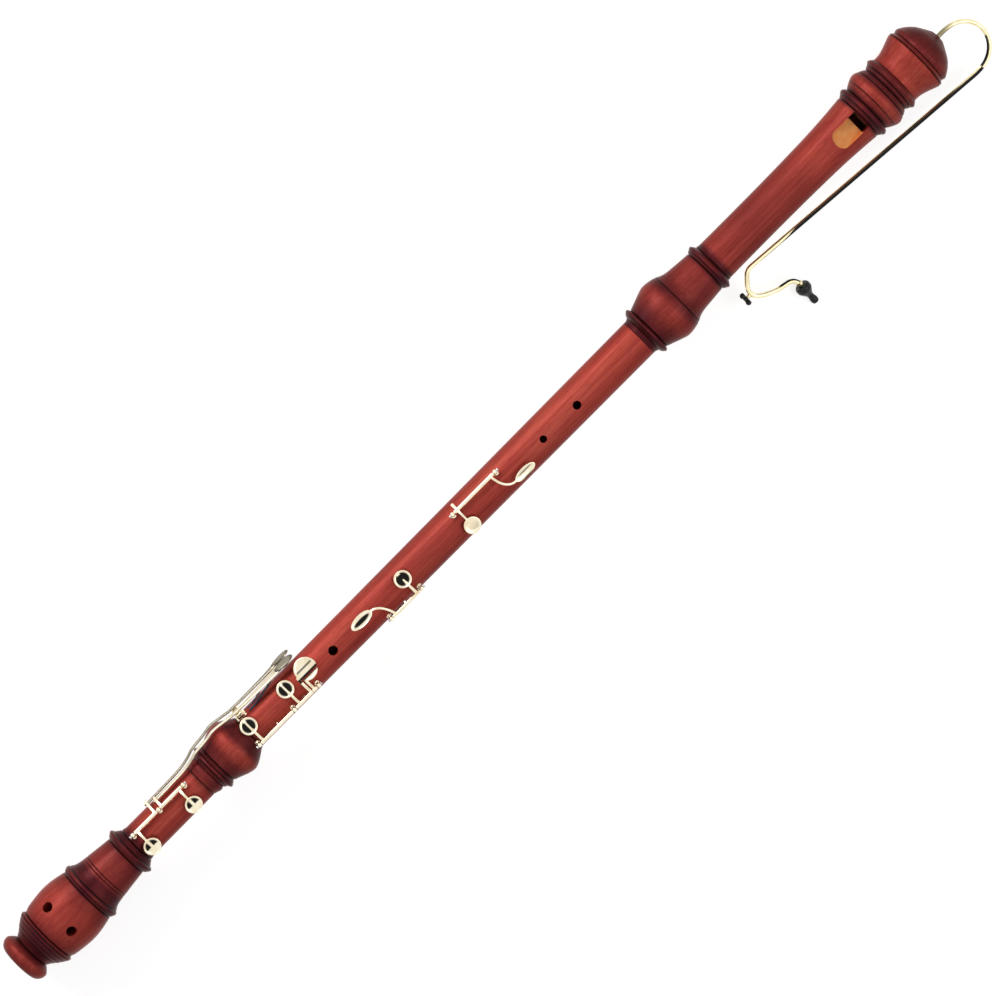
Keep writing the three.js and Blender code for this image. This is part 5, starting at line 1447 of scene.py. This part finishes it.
def lever_touch():
    """Domed leaf that is broader towards its free end and flatter on its upper side."""
    rings = []
    for i in range(1, DOME_STEPS):
        turn = math.pi * i / DOME_STEPS
        up = -math.cos(turn) * LEVER.touch_dome * (LEVER.touch_flatness if math.cos(turn) < 0 else 1)
        rings.append([
            (x * LEVER.touch_half_length, y * LEVER.touch_half_width * (1 + LEVER.touch_flare * x), up)
            for x, y in circle(math.sin(turn), RING_SIDES)
        ])
    return loft(rings, poles=((0, 0, -LEVER.touch_dome), (0, 0, LEVER.touch_dome * LEVER.touch_flatness)))


def long_lever(node, angle, side, lug_at, touch_width):
    pivot_at = MIDDLE_TUBE_START + LEVER.pivot_at
    pivot, rail = wood_radius(pivot_at) + LEVER.pivot_height, wood_radius(pivot_at) + LEVER.bar_rise
    line = in_plane(spline(lever_line(lug_at - LEVER.tip_beyond_lug, pivot_at), LEVER_STEP, uniform=True))
    touch_at = pivot_at + LEVER.touch_from_pivot
    widening = touch_width / LEVER.bar_width - 1
    ends = end_rounding(len(line), line[-1][0] - line[0][0], LEVER.bar_width)
    scales = [
        (wide * (1 + widening * float(rise_to(x, pivot_at + 6, touch_at - 12))), 1)
        for (x, _, _), (wide, _) in zip(line, ends)
    ]
    strip = swept(line, pill(LEVER.bar_width, LEVER.bar_thickness, EDGE.lever), (0, 1, 0), scales)
    hub = LEVER.hub_radius
    web = [(pivot_at - hub, pivot), (pivot_at + hub, pivot), (pivot_at + hub, rail), (pivot_at - hub, rail)]
    mesh = cut(
        join(
            strip,
            cross_bar(pivot_at, pivot, hub, LEVER.bar_width),
            slab(web, LEVER.bar_width - 0.02),
            moved(lever_touch(), touch_at, side * LEVER.touch_offset, rail + LEVER.touch_rise),
        ),
        cross_bar(pivot_at, pivot, LEVER.pin_radius + FINE_GAP, OVERRUN),
    )
    shaded(mesh, [dark_lever(side, touch_at)])
    mesh.transform(about_x(angle))
    piece(node, mesh, LEVER_BRASS, node)


def lever_saddle(node, angle):
    at = MIDDLE_TUBE_START + LEVER.pivot_at
    surface = wood_radius(at)
    base, pivot = surface * ROUND - 2 * SUNK, surface + LEVER.pivot_height
    slot = LEVER.bar_width / 2 + RUNNING_GAP
    fork = slot + SADDLE.cheek
    bottom = pivot - LEVER.hub_radius - 2 * RUNNING_GAP
    top = surface + LEVER.bar_rise - LEVER.bar_thickness / 2 - 2 * RUNNING_GAP
    neck, stem = surface + SEAT_GAP + SADDLE.neck_height, SADDLE.stem_half_width
    half = [(stem, base), (stem, neck), (fork, bottom), (fork, top), (slot, top), (slot, bottom)]
    outline = half + [(-y, z) for y, z in reversed(half)]
    foot = cross_box(at, SADDLE.foot_length, (-stem, stem), (base, surface + SEAT_GAP + SADDLE.foot_height))
    mesh = eased(join(cross_slab(outline, at, SADDLE.length), foot), EDGE.saddle)
    mesh = cut(mesh, cross_bar(at, pivot, LEVER.pin_radius + FINE_GAP, OVERRUN))
    mesh.transform(about_x(angle))
    piece(node, mesh, BRASS, "body")


def lever_pin(node, angle):
    at = MIDDLE_TUBE_START + LEVER.pivot_at
    half, radius = LEVER.bar_width / 2 + RUNNING_GAP + SADDLE.cheek, LEVER.pin_radius
    outline = rounded([(-half, 0), (-half, radius), (half, radius), (half, 0)], EDGE.pin)
    points, faces = turned(outline, PIN_SIDES)
    points = points[:, [1, 0, 2]] + np.array((at, 0, wood_radius(at) + LEVER.pivot_height))
    piece(node, turned_about(outward(points, faces), angle), STEEL, "body")


def leaf_spring(node, angle):
    size = LEVER_SPRING
    at = MIDDLE_TUBE_START + LEVER.pivot_at + size.start
    low = wood_radius(at) * ROUND + size.thickness / 2
    high = wood_radius(at) + LEVER.bar_rise - (LEVER.bar_thickness + size.thickness) / 2 - size.gap
    line = spline(
        [(at + along * size.reach, low + up * (high - low)) for along, up in size.line_shares],
        SPRING_STEP, uniform=True,
    )
    scales = end_rounding(len(line), size.reach, size.width)
    leaf = swept(in_plane(line), pill(size.width, size.thickness, EDGE.leaf), (0, 1, 0), scales)
    piece(node, turned_about(leaf, angle), BLUED_STEEL, "body")


def lever_set():
    for name, angle, side, lug_at, touch_width in (
        ("outer_lever", OUTER_LEVER_ANGLE, 1, FOOT_KEYS.low_lug_at, LEVER.outer_touch_width),
        ("inner_lever", INNER_LEVER_ANGLE, -1, FOOT_KEYS.high_lug_at, LEVER.inner_touch_width),
    ):
        long_lever(name, angle, side, FOOT_TUBE_START + lug_at, touch_width)
        lever_saddle(name + "_saddle", angle)
        lever_pin(name + "_pin", angle)
        leaf_spring(name + "_spring", angle)


# Back of the body
def thumb_rest():
    size = THUMB_REST
    at = on_middle_tube(size.at_share)
    low = wood_radius(at) * ROUND - SUNK + size.thickness / 2
    high = wood_radius(at) + SEAT_GAP + size.height - size.thickness / 2
    line = spline(
        [(at + along * size.length / 2, low + up * (high - low)) for along, up in size.hook_shares],
        HOOK_STEP, uniform=True,
    )
    scales = end_rounding(len(line), size.length + size.height, size.width)
    hook = swept(in_plane(line), pill(size.width, size.thickness, EDGE.hook), (0, 1, 0), scales)
    shares = [2 * i / BEND_STEPS - 1 for i in range(BEND_STEPS + 1)]
    points = [(at, *around(size.half_angle * share, low)) for share in shares]
    narrow = size.foot_end_share
    scales = [(narrow + (1 - narrow) * math.sqrt(1 - share ** 8), 1) for share in shares]
    foot = swept(points, pill(size.length, size.thickness, EDGE.hook_foot), (1, 0, 0), scales)
    mesh = join(foot, hook)
    mesh.transform(about_x(180))
    piece("thumb_rest", mesh, BRASS, "body")


def sling_ring():
    size = SLING_RING
    at = on_middle_tube(size.at_share)
    base = wood_radius(at) * ROUND - SUNK
    foot_top = wood_radius(at) + SEAT_GAP + size.foot_height
    centre = foot_top + size.radius
    rings = []
    for i in range(RING_SIDES):
        turn = 2 * math.pi * i / RING_SIDES
        rings.append([
            ((size.radius + a) * math.cos(turn), b, centre + (size.radius + a) * math.sin(turn))
            for a, b in circle(size.wire_radius, WIRE_SIDES)
        ])
    foot = upright(rounded([
        (base, 0), (base, size.foot_radius), (foot_top - size.foot_slope, size.foot_radius),
        (foot_top, size.foot_radius * size.foot_top_share), (foot_top, 0),
    ], EDGE.sling_foot), RING_SIDES)
    mesh = join(foot, loft(rings, closed=True))
    mesh.transform(Matrix.Translation((at, 0, 0)) @ about_x(180))
    piece("sling_ring", mesh, BRASS, "body")


# Crook
def crook_route():
    """Route of the crook in its own plane, as [x, out, heading]."""
    link_heading = CROOK.loop_angle - CROOK.elbow_angle - CROOK.heel_angle - CROOK.swell_angle
    route = [(CAP_END - CROOK.inside_cap, 0.0, 0.0)]
    for run, radius, turn in (
        (CROOK.inside_cap + CROOK.out_of_cap, None, 0),
        (None, CROOK.loop_radius, CROOK.loop_angle),
        (CROOK.run_length, None, 0),
        (None, CROOK.elbow_radius, -CROOK.elbow_angle),
        (CROOK.drop_length, None, 0),
        (None, CROOK.heel_radius, -CROOK.heel_angle),
        (CROOK.link_length, None, 0),
        (None, CROOK.swell_radius, -CROOK.swell_angle),
        (None, CROOK.neck_radius, CROOK.neck_heading - link_heading),
        (CROOK.lead_length, None, 0),
    ):
        steps = 1 if run else math.ceil(abs(turn) / CROOK.bend_step_angle)
        step_turn = turn / steps
        length = run or 2 * radius * math.sin(math.radians(abs(step_turn)) / 2)
        for _ in range(steps):
            x, out, heading = route[-1]
            way = math.radians(heading + step_turn / 2)
            route.append((x + length * math.cos(way), out + length * math.sin(way), heading + step_turn))
    return route


def crook_angle():
    """Angle at which the crook's plane stands round the body, as the frame's crook lies."""
    mesh = frame["nodes"]["crook"].data
    middle = sum((vertex.co for vertex in mesh.vertices), Vector()) * 1000 / len(mesh.vertices) - ORIGIN
    return math.degrees(math.atan2(-middle.y, middle.z))


def dark_crook(route):
    """Painted darkness on the crook: painted reflection along one side of the long run and on the loop,
    painted shadow on the swell, and brown near the cap. Its places are millimetres from the ends of the run."""
    line = np.array(route)
    ways = np.gradient(line, axis=0)
    turns = np.arctan2(ways[:, 1], ways[:, 0])
    loop_end = CAP_END + CROOK.out_of_cap
    run_start = loop_end - CROOK.run_length

    def darkness(corners, _, normals):
        x, out = corners[:, 0], corners[:, 2]
        near = turns[[np.argmin((line[:, 0] - a) ** 2 + (line[:, 1] - b) ** 2) for a, b in zip(x, out)]]
        side = -np.sin(near) * normals[:, 0] + np.cos(near) * normals[:, 2]
        at_cap = (out < 0.3 * CROOK.loop_radius) & (x > CAP_END - 2)
        on_swell = (x < run_start + 60) & (out > 2 * CROOK.loop_radius + 22)
        high = out > 1.2 * CROOK.loop_radius
        on_run = high & (x > run_start + 6) & (x < loop_end + 3) & ~on_swell
        edge = np.interp(x, (run_start + 35, run_start + 55), (0.45, -0.75))
        return (
            on_run * rise_to(-side - edge, 0, 0.15)
            + at_cap * 0.6 * rise_to(x, loop_end + 12, loop_end - 2)
            + on_swell * 0.8 * rise_to(side, -0.3, 0.1)
            + (high & (x > loop_end + 3)) * rise_to(side, 0.1, 0.6)
        )
    return darkness


def eased_route(points):
    """Smooth line that stays within the corners of a route."""
    points = [Vector(point) for point in points]
    line = [points[0]]
    for before, corner, after in zip(points, points[1:], points[2:]):
        back, on = before - corner, after - corner
        reach = min(back.length, on.length) / 2
        start, end = corner + reach * back.normalized(), corner + reach * on.normalized()
        for step in range(ROUTE_STEPS + 1):
            share = step / ROUTE_STEPS
            place = start.lerp(corner, share).lerp(corner.lerp(end, share), share)
            if (place - line[-1]).length > 0.01:
                line.append(place)
    line.append(points[-1])
    fine = line[:1]
    for start, end in zip(line, line[1:]):
        count = math.ceil((end - start).length / TUBE_STEP)
        fine += [start.lerp(end, step / count) for step in range(1, count + 1)]
    return [tuple(place) for place in fine]


def crook_set():
    route = crook_route()
    heel_x, heel_out, _ = min(route, key=lambda point: point[0])
    x, out, heading = route[-1]
    cos, sin = math.cos(math.radians(heading)), math.sin(math.radians(heading))
    set_out = about_x(crook_angle())

    def finish(node, shape, material, body):
        mesh = mesh_of(shape)
        mesh.transform(set_out)
        piece(node, mesh, material, body)

    def on_lead(outline, sides, back=0.0):
        """Turned piece about the straight end of the crook, drawn back along it."""
        points, faces = turned(outline, sides)
        points = points @ np.array(((cos, 0, sin), (0, 1, 0), (-sin, 0, cos)))
        return moved(outward(points, faces), x - back * cos, 0, out - back * sin)

    def at_heel(shape):
        return moved(shape, 0, 0, heel_out)

    line = eased_route([point[:2] for point in route])
    outside, inside = (
        rings_along(in_plane(line), circle(radius, TUBE_SIDES), (0, 1, 0))
        for radius in (CROOK.radius - FINE_GAP, CROOK.bore_radius)
    )
    stub_end = heel_x - DRAIN.stub_length
    inner, outer = (CROOK.bore_radius + CROOK.radius) / 2, CROOK.radius + FERRULE.wall
    end, neck = -MOUTHPIECE.socket_depth - FINE_GAP, outer - FERRULE.step
    start = end - FERRULE.length
    ferrule = on_lead(rounded([
        (start, inner), (start, neck), (end - FERRULE.bead_start, neck), (end - FERRULE.bead_end, outer),
        (end, outer), (end, inner), (start, inner),
    ], EDGE.ferrule), WIDE_SIDES)
    mesh = cut(
        join(
            loft(outside + inside[::-1], closed=True),
            at_heel(bar(stub_end, heel_x - CROOK.bore_radius, DRAIN.stub_radius, EDGE.drain, TUBE_SIDES)),
            ferrule,
        ),
        at_heel(bar(stub_end - OVERRUN, heel_x, DRAIN.spigot_radius + FINE_GAP)),
    )
    finish("crook", shaded(mesh, [dark_crook(line)]), CROOK_BRASS, "crook")

    end = CAP_END - SEAT_GAP
    start = end - CROOK_CORK.length
    inner, outer = CROOK.radius + FINE_GAP, (CROOK.radius + SEAT_GAP + CROOK_CORK.wall) * ROUND
    outline = [(start, inner), (start, outer), (end, outer), (end, inner), (start, inner)]
    finish("crook_cork", turned(rounded(outline, EDGE.crook_cork), WIDE_SIDES), CORK, "crook")

    size = MOUTHPIECE
    crest = MOUTHPIECE_ROUND * size.radius
    depth, socket = size.socket_depth + SEAT_GAP, CROOK.radius + FINE_GAP
    crests = [(along * size.length, wide * crest) for along, wide in size.outline_shares]
    outline = [
        *((along, min(out, crest)) for along, out in spline(crests, MOUTHPIECE_STEP)),
        (size.length, size.radius * size.outline_shares[-1][1] * size.end_share),
        (size.length, size.bore_radius),
        (depth, size.bore_radius), (depth, socket), (0, socket),
    ]
    shape = on_lead(rounded(outline + outline[:1], EDGE.mouthpiece), CUP_SIDES, size.socket_depth)
    finish("mouthpiece", shape, BLACK, "crook")

    hub_end, hub, spigot = heel_x - DRAIN.stub_length - SEAT_GAP, DRAIN.stub_radius, DRAIN.spigot_radius
    hub_start, collar = hub_end - DRAIN.hub_length, hub_end - DRAIN.collar_length
    thumb_end, spigot_end = collar - SEAT_GAP, hub_end + DRAIN.spigot_length
    outline = rounded([
        (hub_start, 0), (hub_start, spigot), (collar, spigot), (collar, hub), (hub_end, hub),
        (hub_end, spigot), (spigot_end, spigot), (spigot_end, 0),
    ], EDGE.drain)
    finish("drain_screw", at_heel(turned(outline, TUBE_SIDES)), CROOK_BRASS, "drain_screw")
    turns = [math.pi * i / LOBE_STEPS for i in range(1, LOBE_STEPS)]
    outline = [
        (-DRAIN.lobe_radius, 0),
        *((-DRAIN.lobe_radius * math.cos(turn), DRAIN.lobe_radius * math.sin(turn)) for turn in turns),
        (DRAIN.lobe_radius, 0),
    ]
    lobe, middle = turned(outline, LOBE_SIDES), (hub_start + thumb_end) / 2
    lobes = [at_heel(moved(lobe, middle, 0, side * DRAIN.lobe_spread)) for side in (-1, 1)]
    barrel = at_heel(bar(hub_start + SEAT_GAP, thumb_end, DRAIN.barrel_radius, EDGE.barrel, TUBE_SIDES))
    thumb = cut(
        join(barrel, *lobes),
        at_heel(bar(hub_start - OVERRUN, hub_end, spigot + FINE_GAP)),
        at_heel(bar(thumb_end, hub_end + OVERRUN, DRAIN.lobe_radius + DRAIN.lobe_spread)),
    )
    finish("drain_thumb_piece", thumb, BLACK, "drain_screw")


foot_joint()
middle_joint()
head_joint()
cap()
block()
tenon_cork("foot_tenon_cork", FOOT_LENGTH, FOOT_TENON, "body")
tenon_cork("middle_tenon_cork", MIDDLE_END, MIDDLE_TENON, "body")
tenon_cork("cap_tenon_cork", HEAD_END, CAP_TENON, "head")
finger_key("ring_key", RING_KEY, faint_dark, streak_dark)
finger_key("index_key", INDEX_KEY, round_dark, slit_dark)
double_key()
foot_keys()
lever_set()
thumb_rest()
sling_ring()
crook_set()


# Floor, light and camera
def seen_directly(tree):
    """Level that is 1 for camera, glossy and transmission rays, and 0 for the rest."""
    path = tree.nodes.new("ShaderNodeLightPath")
    seen = path.outputs["Is Camera Ray"]
    for kind in ("Is Glossy Ray", "Is Transmission Ray"):
        either = tree.nodes.new("ShaderNodeMath")
        either.operation = "MAXIMUM"
        tree.links.new(seen, either.inputs[0])
        tree.links.new(path.outputs[kind], either.inputs[1])
        seen = either.outputs[0]
    return seen


def floor():
    """Pale floor that looks white and keeps the shadow, but throws little light back on the object."""
    make = Finish("pale_floor")
    grain = make.noise(make.stretched(9, 9, 9), detail=3.0)
    pale = make.add("BsdfDiffuse", Color=make.ramp(grain, (0.2, 0.80), (0.8, 0.84)))
    glow = make.add("Emission", Color=(1, 1, 1, 1), Strength=STAGE.floor_glow)
    dim = make.add("BsdfDiffuse", Color=(STAGE.floor_dimmed,) * 3 + (1,))
    both, choice = make.add("AddShader"), make.add("MixShader", Fac=seen_directly(make.tree))
    for start, end in (
        (pale, both.inputs[0]), (glow, both.inputs[1]), (dim, choice.inputs[1]), (both, choice.inputs[2]),
        (choice, make.tree.nodes["Material Output"].inputs["Surface"]),
    ):
        make.tree.links.new(start.outputs[0], end)
    half = STAGE.floor_half_size
    mesh = bpy.data.meshes.new("floor")
    corners = [(-half, -half, 0), (half, -half, 0), (half, half, 0), (-half, half, 0)]
    mesh.from_pydata(corners, [], [(0, 1, 2, 3)])
    mesh.materials.append(make.material)
    made = placed("floor", mesh)
    made.location.z = -STAGE.floor_depth


def world():
    surroundings = bpy.data.worlds.new("studio")
    bpy.context.scene.world = surroundings
    surroundings.use_nodes = True
    tree = surroundings.node_tree
    background = tree.nodes["Background"]
    background.inputs["Color"].default_value = (1, 1, 1, 1)
    strength = tree.nodes.new("ShaderNodeMapRange")
    strength.inputs["To Min"].default_value = STAGE.world_light
    strength.inputs["To Max"].default_value = 1.0
    tree.links.new(seen_directly(tree), strength.inputs["Value"])
    tree.links.new(strength.outputs["Result"], background.inputs["Strength"])


def area_light(name, place, size, power):
    """Area light that shines at the middle of the object."""
    light = bpy.data.lights.new(name, "AREA")
    light.shape = "RECTANGLE"
    light.size, light.size_y = size
    light.energy = power
    made = placed(name, light)
    made.location = place
    made.rotation_euler = (-Vector(place)).to_track_quat("-Z", "Y").to_euler()


def camera():
    """Camera of the photograph: tilted from straight above, with the body along the picture's diagonal."""
    data = bpy.data.cameras.new("camera")
    data.lens = STAGE.lens
    data.sensor_width = 36
    data.clip_end = 100
    made = placed("camera", data)
    tilt = math.radians(STAGE.camera_tilt)
    back = Vector((0, math.sin(tilt), math.cos(tilt)))
    across = Vector((0, -math.cos(tilt), math.sin(tilt)))
    right = (STAGE.right[0] * Vector((1, 0, 0)) + STAGE.right[1] * across).normalized()
    turn = Matrix((right, back.cross(right), back)).transposed().to_4x4()
    place = Vector(STAGE.camera_target) + STAGE.camera_distance * back
    made.matrix_world = Matrix.Translation(place) @ turn
    bpy.context.scene.camera = made


floor()
world()
for light in LIGHTS:
    area_light(*light)
camera()
bpy.context.scene.view_settings.view_transform = "Standard"
